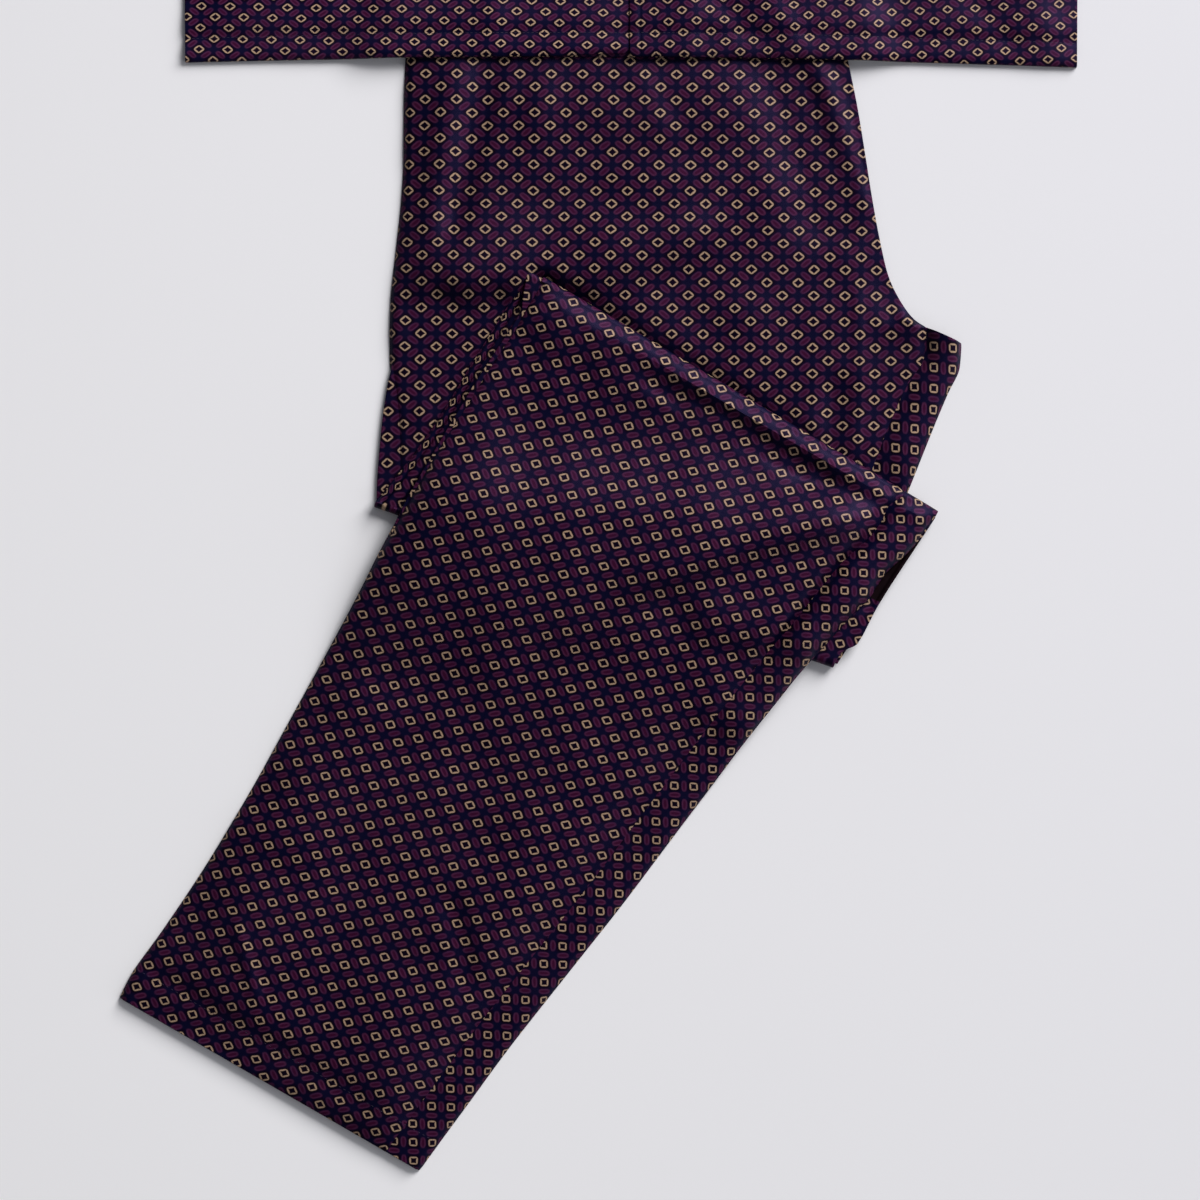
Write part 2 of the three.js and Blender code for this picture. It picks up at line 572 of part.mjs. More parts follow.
const set = new THREE.Group();
function piece(name, geometry, color, roughness = CLOTH_ROUGHNESS) {
  const mesh = new THREE.Mesh(geometry, new THREE.MeshStandardMaterial({ color, roughness, metalness: 0 }));
  mesh.name = name;
  set.add(mesh);
}

piece("trousers_hidden_layers", hiddenLayers(), colours.hidden);
piece("trousers_leg_panel", legPanel(), colours.trousers);
piece("trousers_inseam_strip", inseamStrip(), colours.strip);
piece("trousers_waistband", waistband(), colours.trousers);

const leftPlaces = [...overlapPlaces, ...sidePlaces];
const rightPlaces = [...sidePlaces].reverse().map((place) => -place);
const back = shirtPanel({
  places: [...rightPlaces, ...leftPlaces],
  neckDrop: BACK_NECK_DROP,
  height: () => 0,
});
const rightFront = shirtPanel({
  places: [
    ...rightPlaces,
    ...overlapPlaces.slice(0, -1),
    placeOf(OVERLAP_EDGE + OVERLAP - UNDER_FRONT_INSET),
  ],
  neckDrop: FRONT_NECK_DROP,
  height: lowerFront,
  hemRise: (x) => UNDER_FRONT_RISE * ease((x + 60) / 60),
});
const leftFront = shirtPanel({ places: leftPlaces, neckDrop: FRONT_NECK_DROP, height: upperFront });
piece("shirt_back", back, colours.shirt);
piece("shirt_right_front", rightFront, colours.shirt);
piece("shirt_left_front", leftFront, colours.shirt);
piece("shirt_left_sleeve", sleeve(1), colours.shirt);
piece("shirt_right_sleeve", sleeve(-1), colours.shirt);

const buttonX = OVERLAP_EDGE + BUTTON_INSET;
for (let k = 1; k <= BUTTON_COUNT; k++) {
  const y = mix(LOWEST_BUTTON, HIGHEST_BUTTON, (k - 1) / (BUTTON_COUNT - 1));
  const foot = lapFoot(buttonX, y) + upperFront(buttonX, y) + CLOTH + GAP;
  piece(`shirt_button_${k}`, button(buttonX, y, foot), colours.button, BUTTON_ROUGHNESS);
}

// The origin is the middle of the set's outline, on the floor.
const middle = new THREE.Box3().setFromObject(set).getCenter(new THREE.Vector3());
set.position.set(-middle.x, -middle.y, 0);

export default set;
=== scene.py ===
# A pyjama set in one printed cloth, laid flat: the shirt's hem laps over the waist of the trousers,
# which are folded in half down the centre and then twice across. Lengths are in millimetres in the
# set's layout, where x = 0 is the shirt's front edge line and y = 0 its hem, and metres in the scene.
import math
from collections import namedtuple

import bpy
import numpy as np
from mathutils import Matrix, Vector


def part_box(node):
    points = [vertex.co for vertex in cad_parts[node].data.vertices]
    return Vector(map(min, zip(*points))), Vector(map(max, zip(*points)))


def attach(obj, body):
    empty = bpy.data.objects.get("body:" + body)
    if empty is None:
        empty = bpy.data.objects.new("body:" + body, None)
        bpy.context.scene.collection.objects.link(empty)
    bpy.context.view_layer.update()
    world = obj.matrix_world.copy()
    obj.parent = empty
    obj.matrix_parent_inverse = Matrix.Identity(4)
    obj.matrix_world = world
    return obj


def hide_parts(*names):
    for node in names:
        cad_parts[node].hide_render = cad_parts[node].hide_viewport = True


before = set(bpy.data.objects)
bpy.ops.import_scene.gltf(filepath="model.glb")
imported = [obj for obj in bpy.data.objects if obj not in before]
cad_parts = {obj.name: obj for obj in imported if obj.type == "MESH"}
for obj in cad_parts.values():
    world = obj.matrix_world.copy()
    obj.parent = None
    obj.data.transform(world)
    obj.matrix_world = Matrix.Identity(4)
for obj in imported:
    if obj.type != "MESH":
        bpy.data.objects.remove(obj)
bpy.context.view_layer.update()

MM = 0.001
CLOTH = 1.0
GAP = 0.3
LAYER = 0.9
HIDDEN_LAYERS = 3
UNDER = LAYER * HIDDEN_LAYERS
PANEL_LOW = UNDER + GAP
STACK = PANEL_LOW + CLOTH
STEP = STACK + GAP
PANEL_SLACK = 2.8  # how far the middle of a panel stands up from the layers under it
SHIRT_SLACK = 1.6
FINE = 3.0  # the distance between points on the legs
SHIRT_FINE = 3.5  # across the shirt's fronts
COARSE = 7.0  # and across its back
SOFT_ANGLE = math.radians(42)  # up to this turn the cloth shades as one smooth surface
RUMPLE_WAVES = 9
UPPER_SEED, LOWER_SEED, SHIRT_SEED, SLEEVE_SEED = 3, 7, 11, 5
CREASE_PAST = 0.12  # how far a crease runs on past its ends, as a share of its length
CREASE_FADE = 0.3  # and the share of its length over which it dies away

# The trousers
WAIST_Y = 92.0
WAISTBAND_DEPTH = 36.0
FOLD_LEAN = math.radians(30)
LOWER_LEG_LENGTH = 492.0
STRIP_SHOWS = 23.0
SEAM_HALF_GAP = 0.03
DRAPE_START = 5.0
DRAPE_REACH = 28.0
LEG_DRAPE_REACH = 130.0  # the lower leg comes down more gently past the first fold
CREASE_CLEAR = 12.0
SLACK_REACH = 26.0  # how far in from a panel's edges its slack is whole
CREASE_REACH = 9.0  # and how far in its creases are, from a little outside those edges
CREASE_START = 2.0
HEM_SLACK_REACH, HEM_RUMPLE_REACH, HEM_CREASE_REACH = 34.0, 14.0, 16.0  # the same, up from the leg's hem
LEG_HEM_DEPTH = 20.0
EDGE_ROLL = 2.8  # how far out the cloth rolls over a folded edge
EDGE_DROP = 3.0  # and how far down
ROLL_REACH = 2 * EDGE_ROLL
TURN_STEPS = 13  # the sections round each cross fold
PANEL_COLUMNS, STRIP_COLUMNS, HIDDEN_COLUMNS = 90, 7, 44
SEAM_DIP = 0.2
SEAM_DIP_REACH = 2.2

# The shirt
HEM_WIDTH = 534.0
CHEST_WIDTH = 540.0
SHIRT_LENGTH = 700.0
SHOULDER_WIDTH = 450.0
SHOULDER_DROP = 36.0
ARMHOLE_DEPTH = 235.0
ARMHOLE_HOLLOW = 16.0
NECK_WIDTH = 170.0
FRONT_NECK_DROP = 150.0
BACK_NECK_DROP = 20.0
NECK_CURVE = 1.6
OVERLAP = 31.0
OVERLAP_EDGE = -0.6
UNDER_FRONT_INSET = 2.0
UNDER_FRONT_RISE = 1.8
HEM_DEPTH = 15.0
HEM_TURN = 0.4
HEM_SWELL = 1.3
HEM_BOW = 4.3  # how much lower the hem hangs at both sides than at its middle
HEM_TILT = 1.5  # and how much lower still at the right
STITCH_LINE = HEM_DEPTH - 1.2  # the row of stitches, up from the hem
STITCH_SINK = 0.35
FRONT_STITCH_IN = 6.0  # the front edge's row of stitches, in from that edge
FRONT_STITCH_TOP = 546.0
SLEEVE_LENGTH = 560.0
SLEEVE_LEAN = math.radians(38)
SLEEVE_SLACK = 1.6
SLEEVE_RUMPLE = 0.25
SLEEVE_ROUND = 1.4
SLEEVE_EDGE = ((0.15, 0.72), (0.5, 1.0), (0.85, 0.72))  # up the edge, and how far out it is there
SLEEVE_WALL = 0.18  # the tube's inside reaches this share of the way out
CUFF_WIDTH = 132.0
CUFF_HEM = 22.0
ARMHOLE_POINTS, SLEEVE_SECTIONS = 34, 80
CUFF_STEPS = [26, 24.5, 23, 22.4, 21.8, 21, 18, 12, 6, 2, 0]
LAP_LIFT = 0.5
LAP_REACH = 34.0
LAP_SETTLE = 14.0  # past the lap the upper front comes down over this width
SIDE = HEM_WIDTH / 2
UNDERARM_Y = SHIRT_LENGTH - SHOULDER_DROP - ARMHOLE_DEPTH
HEM_STEPS = [0, 0.6, 1.5, 3, 5, 7, 9, 11, 12.5, 13.6, 14.4, 15.2, 16.2, 17.5, 19.5, 22]
BUTTON_COUNT = 5
BUTTON_COLUMNS = 57
BUTTON_FACE = 5.9
BUTTON_BACK = 5.4
BUTTON_DISH = 1.5  # the height of the button's hollow middle
BUTTON_RIM = 0.85  # and how far its rim stands up from that
RIM_START, RIM_RISE = 3.9, 1.3  # where the rim starts, and the width over which it rises
RIM_ROUND, RIM_FALL = 5.3, 0.3  # where it rounds over, and how far it falls to the edge
BUTTON_EDGE = [(0.1, 0.34), (0.3, 0.56), (0.6, 0.6), (0.85, 0.4)]
HOLE_OUT = 1.4
HOLE_RADIUS = 0.95
HOLE_DEPTH = 1.2
BUTTONHOLE = 18.0
BUTTONHOLE_HALF_WIDTH = 0.7

# The photograph, for the camera: the middle of its frame and the length it covers
PHOTO_CENTRE = (-18.6, -324.4)
PHOTO_SPAN = 720.0
CAMERA_HEIGHT = 2600.0

# The light, in metres: a soft window beyond the picture's top right, a low panel at its right, a dim sky
WINDOW_HEIGHT = 31.0  # degrees above the floor
WINDOW_BEARING = 41.0  # degrees to the right of straight up the picture
WINDOW_DISTANCE = 3.1
WINDOW_SIZE = 1.8
WINDOW_LIGHT = 151.0
WINDOW_COLOUR = (1.0, 0.985, 0.97)
SIDE_PLACE = Vector((2.15, -1.04, 1.04))
SIDE_SIZE = 1.6
SIDE_LIGHT = 15.5
SIDE_COLOUR = (0.96, 0.97, 1.0)
SKY_LIGHT = 0.178
SKY_COLOUR = (0.93, 0.94, 1.0, 1)
FLOOR_HALF = 6.0
FLOOR_BEARING = 52.0  # the way in which the floor's tone deepens, to lie evenly in that light
FLOOR_FAR, FLOOR_NEAR = -0.75, 0.32
FLOOR_PALE = (0.975, 0.975, 1.0, 1)
FLOOR_DEEP = (0.585, 0.585, 0.62, 1)

# The layout's place in the row frame
layout_shift = np.array(
    [
        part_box("shirt_left_front")[0].x - OVERLAP_EDGE * MM,
        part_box("trousers_leg_panel")[1].y - WAIST_Y * MM,
        0.0,
    ]
)

# The print on a panel: a point on one of its squares, and the way to the next square across the
# cloth and along it.
Print = namedtuple("Print", "origin across along")
PRINTS = {
    "upper_leg": Print((-1.9, -64.1), (18.78, -0.08), (-0.30, -15.55)),
    "lower_leg": Print((8.1, -241.8), (16.74, -8.19), (-7.28, -12.98)),
    "middle_leg": Print((-90.8, -189.8), (15.4, -9.0), (-7.6, -12.85)),
    "upper_strip": Print((169.7, -196.6), (11.4, -13.9), (-11.4, -11.4)),
    "lower_strip": Print((59.5, -392.9), (11.9, -11.7), (-11.3, -10.5)),
    "right_front": Print((-128.8, 22.4), (17.19, -0.35), (-0.69, -12.94)),
    "left_front": Print((140.1, 13.7), (16.72, 0.82), (0.65, -13.14)),
    "back": Print((0.0, 0.0), (17.0, 0.0), (0.0, -13.0)),
    "sleeve": Print((0.0, 0.0), (17.0, 0.0), (0.0, -13.0)),
}


def ease(t):
    return 0.5 - 0.5 * np.cos(np.pi * np.clip(t, 0.0, 1.0))


def mix(a, b, t):
    return a + (b - a) * t


# Sections of the legs, a row for each: the outer edge, the seam of the inseam strip, the strip's
# folded inner edge (the seam again above the crotch) and how far the hidden layers show past the
# outer edge. A negative reach keeps them under the panel's rolled edge.
TUCKED = -2.0
upper_rows = [
    # outer, seam, inner, peek
    ((-126, 92), (112, 92), (112, 92), TUCKED),
    ((-132, 46), (121, 46), (121, 46), TUCKED),
    ((-135, 0), (129.5, 0), (129.5, 0), TUCKED),
    ((-136, -30), (135.5, -30), (135.5, -30), TUCKED),
    ((-136.2, -60), (140.4, -60), (140.4, -60), TUCKED),
    ((-137.5, -84), (144.2, -84), (144.2, -84), TUCKED),
    ((-140, -108), (148.6, -108), (148.6, -108), TUCKED),
    ((-142.5, -130), (153.8, -130), (153.8, -130), TUCKED),
    ((-144, -146), (161.5, -146), (161.5, -146), TUCKED),
    ((-144.3, -156), (169, -156), (169, -156), TUCKED),
    ((-144.5, -162), (177, -161.5), (198, -171), TUCKED),
    ((-144.5, -180), (175.5, -179), (196.8, -185), TUCKED),
    ((-142.5, -196), (166, -195), (190, -200), 3),
    ((-140.5, -216), (156.5, -215), (182, -219), 8),
    ((-139.8, -240), (143, -250), (168, -254), 11),
    ((-139.8, -254), (124, -298), (149, -303), 12),
    ((-139.8, -269.3), (100, -353.2), (123.7, -361.6), 13),
]
CROTCH_ROW = 10

# The lower leg: the way down it from the second fold, its width, the bow of its outer edge, how far
# the hidden layers show past that edge, and how much of the inseam strip shows.
leg_corner = (-56.7, -138.6)
second_fold_outer = (-54.0, -134.8)
second_fold_inner = (181.5, -274.6)
lower_rows = [
    # along, width, bow, peek, strip
    (0, 269, 0, 9, 23),
    (8, 272.8, 0, 4, 25.8),
    (16, 272.6, 0, 0.9, 24.6),
    (27, 270.3, 0, 0.7, 23.3),
    (42, 265.6, 1, 0.8, 23.1),
    (50, 264.8, 1.6, 0.7, 25),
    (60, 264.6, 2, 0.8, 26.6),
    (68, 262.4, 2.3, 0.9, 25.6),
    (80, 259.6, 2.5, 0.8, 24.6),
    (100, 255.2, 3, 0.7, 23.2),
    (120, 251, 3, 0.8, 23),
    (140, 248, 3, 0.9, 23),
    (160, 245, 3, 0, 23),
    (182, 242, 2.5, TUCKED, 23),
    (208, 239, 1, TUCKED, 23),
    (240, 235, 0, TUCKED, 23),
    (290, 229, -1, TUCKED, 23),
    (345, 221, -2, TUCKED, 23),
    (400, 213, -1, TUCKED, 23),
    (445, 208, 2, TUCKED, 23),
    (477, 204.5, 5, TUCKED, 23),
    (LOWER_LEG_LENGTH, 203, 4.2, TUCKED, 23),
]
# The middle section, doubled back between the folds: how far the hidden layers show past its edges
middle_rows = [
    # share, outer peek, inner peek
    (0, 13, TUCKED),
    (0.06, 11.5, TUCKED),
    (0.1, 10.6, 0.5),
    (0.14, 10, 3.2),
    (0.2, 9, 3.0),
    (0.4, 7.5, 0.8),
    (0.6, 8.4, 0.3),
    (0.8, 8.8, 0.3),
    (1, 9, 0.3),
]
down_leg = np.array([-math.sin(FOLD_LEAN), -math.cos(FOLD_LEAN)])
across_leg = np.array([math.cos(FOLD_LEAN), -math.sin(FOLD_LEAN)])


def lower_point(along, across):
    return np.array(leg_corner) + along * down_leg + across * across_leg


# Folds and wrinkles, a row for each: its two ends, the bow of its middle to the left of the way
# between them, its reach to the left and right, and its height.
Crease = namedtuple("Crease", "start end bow left right height")
upper_creases = [
    Crease((-102, 12), (-123, -104), 0, 15, 13, 1.9),
    Crease((-80, 16), (-109, -112), 0, 14, 14, -3.2),
    Crease((-128, -128), (56, -94), -16, 48, 26, 6.2),
    Crease((-134, -168), (-64, -174), 0, 38, 66, -3.2),
    Crease((90, 14), (128, -110), 1, 14, 38, -4.2),
    Crease((107, 10), (147, -98), 0, 12, 9, 2.0),
    Crease((44, -4), (76, -104), 4, 30, 50, 1.6),
    Crease((-136, -152), (-58, -136), 0, 12, 26, -1.6),
    Crease((-116, -136), (-112, -208), 0, 18, 9, -3.2),
    Crease((-76, -138), (-92, -170), 0, 16, 10, -2.4),
    Crease((121, -190), (117, -246), 0, 16, 10, -3.0),
    Crease((135, -138), (135, -240), 2, 5, 6, 1.0),
    Crease((-142, -192), (-135, -244), -2, 10, 9, -2.4),
    Crease((-50, 16), (-60, -50), 2, 18, 14, 1.4),
    Crease((0, 8), (22, -50), -2, 14, 16, 1.2),
    Crease((74, -146), (46, -240), 6, 30, 34, 1.8),
    Crease((-30, -136), (40, -176), 4, 20, 18, 0.8),
    Crease((168, -142), (210, -167), 0, 8, 36, 8.0),
    Crease((186, -176), (160, -250), 0, 20, 34, 2.2),
    Crease((-118, -176), (-112, -256), 3, 20, 16, -2.4),
    Crease((-66, -34), (30, -52), 8, 22, 30, 1.0),
    Crease((-20, -70), (58, -66), -6, 18, 22, 1.2),
]
lower_creases = [
    Crease((-56, -138), (182, -279), 0, 6, 9, 3.0),
    Crease((-80, -142), (26, -192), 0, 10, 30, 2.4),
    Crease((5, -191), (137, -268), 0, 12, 9, -3.8),
    Crease((-84, -196), (-20, -190), 0, 44, 30, -2.0),
    Crease((-96, -206), (60, -226), -4, 26, 26, -2.6),
    Crease((40, -226), (140, -262), 0, 14, 20, -1.6),
    Crease((-140, -266), (164, -291), -4, 46, 120, 8.4),
    Crease((0, -318), (146, -272), 5, 34, 16, 6.4),
    Crease((34, -338), (112, -348), 0, 28, 20, 3.6),
    Crease((8, -322), (66, -362), 0, 20, 18, -1.0),
    Crease((-236, -516), (-222, -566), 0, 5, 7, 1.8),
    Crease((-204, -462), (-246, -574), 0, 60, 46, 4.0),
    Crease((-150, -380), (-206, -480), 0, 40, 44, 2.6),
    Crease((-110, -500), (-98, -560), 3, 12, 14, -2.2),
    Crease((44, -384), (84, -412), 0, 22, 18, 2.0),
    Crease((-300, -540), (-140, -640), 0, 13, 9, -1.2),
    Crease((10, -390), (-170, -650), 0, 34, 96, 4.2),
    Crease((-60, -320), (-150, -460), 6, 26, 34, 1.6),
    Crease((-20, -400), (-90, -520), -4, 24, 28, 1.4),
]
shirt_creases = [
    Crease((42, 46), (84, -2), 2, 9, 12, -1.8),
    Crease((194, 46), (232, 0), 3, 10, 12, -1.1),
    Crease((222, 60), (256, 0), 3, 14, 16, 0.9),
    Crease((62, 60), (104, 0), 2, 12, 14, 1.6),
    Crease((-200, 60), (-150, 0), -3, 16, 14, 1.0),
    Crease((-90, 70), (-84, 4), 3, 14, 12, 1.0),
    Crease((130, 80), (150, 6), -3, 14, 14, 1.0),
    Crease((-250, 150), (-80, 250), 14, 24, 26, 2.4),
    Crease((60, 330), (236, 420), -12, 26, 24, 2.4),
    Crease((-226, 400), (-100, 330), 10, 22, 24, 2.2),
    Crease((60, 200), (240, 160), 10, 24, 22, 2.0),
    Crease((-230, 560), (-120, 520), 6, 14, 14, 1.4),
    Crease((120, 520), (214, 560), 6, 14, 14, 1.4),
]


def crease_height(crease, x, y):
    (ax, ay), (bx, by) = crease.start, crease.end
    length = math.hypot(bx - ax, by - ay)
    along = ((x - ax) * (bx - ax) + (y - ay) * (by - ay)) / length**2
    offset = ((bx - ax) * (y - ay) - (by - ay) * (x - ax)) / length
    offset = offset - crease.bow * 4 * along * (1 - along)
    reach = np.where(offset > 0, crease.left, crease.right)
    ends = ease((along + CREASE_PAST) / CREASE_FADE) * ease((1 + CREASE_PAST - along) / CREASE_FADE)
    return crease.height * ends * (1 - ease(np.abs(offset) / reach))


def relief(creases, x, y):
    return sum(crease_height(crease, x, y) for crease in creases)


def rumple(x, y, seed, size=40.0, height=0.5):
    """Gentle unevenness of cloth that has been smoothed by hand."""
    turns = np.random.default_rng(seed)
    total = np.zeros(np.broadcast(x, y).shape)
    for _ in range(RUMPLE_WAVES):
        angle = turns.uniform(0, 2 * math.pi)
        wavelength = size * turns.uniform(0.7, 2.6)
        phase = turns.uniform(0, 2 * math.pi)
        bend = turns.uniform(-0.9, 0.9)
        travel = x * math.cos(angle) + y * math.sin(angle)
        side = -x * math.sin(angle) + y * math.cos(angle)
        total += np.sin(2 * math.pi * travel / wavelength + phase + bend * np.sin(side / wavelength))
    return height * total / 3


def distance_outside(polygon, x, y):
    """Distance of points outside a polygon, 0 inside it."""
    inside = np.zeros(x.shape, bool)
    best = np.full(x.shape, np.inf)
    for (ax, ay), (bx, by) in zip(polygon, polygon[1:] + polygon[:1]):
        ex, ey = bx - ax, by - ay
        if ey:
            crosses = ((ay > y) != (by > y)) & (x < ex * (y - ay) / ey + ax)
            inside ^= crosses
        t = np.clip(((x - ax) * ex + (y - ay) * ey) / (ex * ex + ey * ey), 0, 1)
        best = np.minimum(best, np.hypot(x - ax - ex * t, y - ay - ey * t))
    return np.where(inside, 0.0, best)


first_fold = upper_rows[-1]
upper_outline = [(outer[0] - max(peek, 1), outer[1]) for outer, _, _, peek in upper_rows] + [
    inner for _, _, inner, _ in reversed(upper_rows)
]
first_fold_corner = (first_fold[0][0] - first_fold[3], first_fold[0][1])
middle_outline = [first_fold_corner, second_fold_outer, second_fold_inner, first_fold[2]]
WAIST_TOP = WAIST_Y + WAISTBAND_DEPTH
waist = upper_rows[0]
lap_outline = [(waist[0][0], WAIST_TOP)] + upper_outline[:-1] + [(waist[1][0], WAIST_TOP)]


def level(outline, x, y, reach=DRAPE_REACH):
    """1 over an outline, easing to 0 at the reach outside it, where the cloth has come down."""
    return 1 - ease((distance_outside(outline, x, y) - DRAPE_START) / reach)


def way_out(a, b):
    """The way square to a fold, to the right of the way from a to b."""
    length = math.hypot(b[0] - a[0], b[1] - a[1])
    return (b[1] - a[1]) / length, -(b[0] - a[0]) / length


FIRST_AXIS = STACK + GAP / 2
SECOND_AXIS = 2 * FIRST_AXIS + GAP / 2
out_first = way_out(first_fold[0], first_fold[2])
out_second = way_out(second_fold_inner, second_fold_outer)


# A run is a stretch of sections of one kind. Its rows hold the outer edge, seam and inner edge as
# x and y, the reaches of the hidden layers past both edges, and the turn or the way down the leg.
Run = namedtuple("Run", "kind rows")


def smooth_rows(table, spacing):
    """Rows of numbers drawn through a table's rows, with no overshoot between them."""
    table = np.array(table, float)
    knots = np.arange(len(table), dtype=float)
    slope = np.diff(table, axis=0)
    both = slope[1:] + slope[:-1]
    both = np.where(np.abs(both) > 1e-9, both, 1)
    agreed = slope[1:] * slope[:-1]
    inner = np.where(agreed > 0, 2 * agreed / both, 0)
    tangent = np.vstack([slope[:1], inner, slope[-1:]])
    reach = np.maximum(
        np.hypot(slope[:, 0], slope[:, 1]),
        np.maximum(np.hypot(slope[:, 2], slope[:, 3]), np.hypot(slope[:, 4], slope[:, 5])),
    )
    rows = [table[:1]]
    for k in range(len(knots) - 1):
        t = np.linspace(0, 1, max(1, round(reach[k] / spacing)) + 1)[1:, None]
        rows.append(
            (2 * t**3 - 3 * t**2 + 1) * table[k]
            + (t**3 - 2 * t**2 + t) * tangent[k]
            + (3 * t**2 - 2 * t**3) * table[k + 1]
            + (t**3 - t**2) * tangent[k + 1]
        )
    return np.vstack(rows)


def leg_runs():
    """The sections down the legs, from the waist through both cross folds to the hem."""
    upper = [(*outer, *seam, *inner, peek, TUCKED, 0) for outer, seam, inner, peek in upper_rows]
    lower = [
        (
            *lower_point(along, -bow),
            *lower_point(along, width - strip),
            *lower_point(along, width),
            peek,
            TUCKED,
            along,
        )
        for along, width, bow, peek, strip in lower_rows
    ]
    fold_length = math.dist(second_fold_outer, second_fold_inner)
    seam = mix(np.array(second_fold_inner), np.array(second_fold_outer), STRIP_SHOWS / fold_length)
    lower[0] = (*second_fold_outer, *seam, *second_fold_inner, *lower[0][6:])
    fold, back = np.array(upper[-1], float), np.array(lower[0], float)
    fold[8], back[8] = 0, 0
    middle = []
    for share, outer_peek, inner_peek in middle_rows:
        row = mix(fold, back, share)
        row[6], row[7] = outer_peek, inner_peek
        middle.append(row)
    turn = np.linspace(0, math.pi, TURN_STEPS)[1:-1]
    first = np.repeat(fold[None], len(turn), 0)
    second = np.repeat(back[None], len(turn), 0)
    first[:, 8], second[:, 8] = turn, turn
    above = smooth_rows(upper[: CROTCH_ROW + 1], FINE)
    above[-1] = upper[CROTCH_ROW]
    below = smooth_rows(upper[CROTCH_ROW:], FINE)
    return [
        Run("seat", above[:-1]),
        Run("upper", below),
        Run("first_turn", first),
        Run("middle", smooth_rows(middle, FINE)),
        Run("second_turn", second),
        Run("lower", smooth_rows(lower, FINE)),
    ]


def pressed(y):
    """How much of the panel's lift is left towards the shirt's hem and under it."""
    return mix(1, 0.3, ease((y + 20) / 24)) * (1 - ease((y - 12) / 26))


def leg_height(kind, x, y, height, turn, face=True, inside=1e3):
    """Points of a layer of the legs, at a height in one thickness of the trousers. inside is the
    distance from the panel's edges, where its slack ends."""
    panel = height > PANEL_LOW - GAP
    lowered = STEP * (1 - level(upper_outline, x, y))
    if kind in ("seat", "upper"):
        lift = 0.0
        if panel:
            clear = ease(distance_outside(middle_outline, x, y) / CREASE_CLEAR)
            creased = relief(upper_creases, x, y) * ease((inside + CREASE_START) / CREASE_REACH)
            lift = PANEL_SLACK * ease(inside / SLACK_REACH) + rumple(x, y, UPPER_SEED)
            lift = np.maximum(0, lift + creased) * clear * pressed(y)
        return x, y, height + lift
    if kind == "first_turn":
        radius = FIRST_AXIS - height
        out = radius * np.sin(turn)
        return x + out_first[0] * out, y + out_first[1] * out, FIRST_AXIS - radius * np.cos(turn)
    if kind == "middle":
        return x, y, 2 * FIRST_AXIS - height - lowered
    if kind == "second_turn":
        radius = GAP / 2 + height
        out = radius * np.sin(turn)
        return (
            x + out_second[0] * out,
            y + out_second[1] * out,
            SECOND_AXIS - radius * np.cos(turn) - lowered,
        )
    reach = LEG_DRAPE_REACH
    foot = STEP * (level(upper_outline, x, y, reach) + level(middle_outline, x, y, reach))
    lift = 0.0
    if panel:
        from_hem = LOWER_LEG_LENGTH - turn
        creased = relief(lower_creases, x, y) * ease((inside + CREASE_START) / CREASE_REACH)
        lift = PANEL_SLACK * ease(inside / SLACK_REACH) * ease(from_hem / HEM_SLACK_REACH)
        lift = lift + rumple(x, y, LOWER_SEED) * ease(from_hem / HEM_RUMPLE_REACH)
        lift = lift + creased * ease((from_hem + 4) / HEM_CREASE_REACH)
        lift = np.maximum(0, lift) * ease(turn / 5)
        if face:
            lift = lift + HEM_TURN * ease((turn - LOWER_LEG_LENGTH + LEG_HEM_DEPTH + 1.5) / 1.5)
    return x, y, foot + height + lift


def print_at(name, x, y):
    """Where points of the layout lie in the print, in repeats across the cloth and along it."""
    origin, across, along = PRINTS[name]
    inverse = np.linalg.inv(np.array([across, along]).T)
    dx, dy = x - origin[0], y - origin[1]
    return inverse[0, 0] * dx + inverse[0, 1] * dy, inverse[1, 0] * dx + inverse[1, 1] * dy


def columns(count, fine_at_start=(), fine_at_end=()):
    """Shares across a panel, and distances in from its ends where it is drawn more finely."""
    first, last = (max(fine, default=0.0) for fine in (fine_at_start, fine_at_end))
    even = [(share, (1 - share) * first - share * last) for share in np.linspace(0, 1, count)]
    even = even[bool(fine_at_start) : count - bool(fine_at_end)]
    return [(0.0, d) for d in fine_at_start] + even + [(1.0, -d) for d in reversed(fine_at_end)]


def across_points(start, end, places):
    """Points between two edges of each row: at a share of the way and some distance on."""
    length = np.hypot(*(end - start).T)[:, None]
    t = np.array([share for share, _ in places])[None] + np.array([d for _, d in places])[None] / length
    x = start[:, :1] + (end - start)[:, :1] * t
    y = start[:, 1:] + (end - start)[:, 1:] * t
    from_start = t * length
    return x, y, from_start, length - from_start


def rolled(distance):
    """How far points near a folded edge move out and down, from their distance to it on the cloth."""
    arc = np.clip((ROLL_REACH - distance) / ROLL_REACH, 0, 1) * math.pi / 2
    out = EDGE_ROLL * np.sin(arc) - EDGE_ROLL + np.clip(distance, 0, ROLL_REACH) * 0.5
    return np.where(distance < ROLL_REACH, out, 0.0), -EDGE_DROP * (1 - np.cos(arc))


def seam_dip(distance):
    """How far the cloth is drawn down beside a seam."""
    return -SEAM_DIP * np.exp(-((distance / SEAM_DIP_REACH) ** 2))


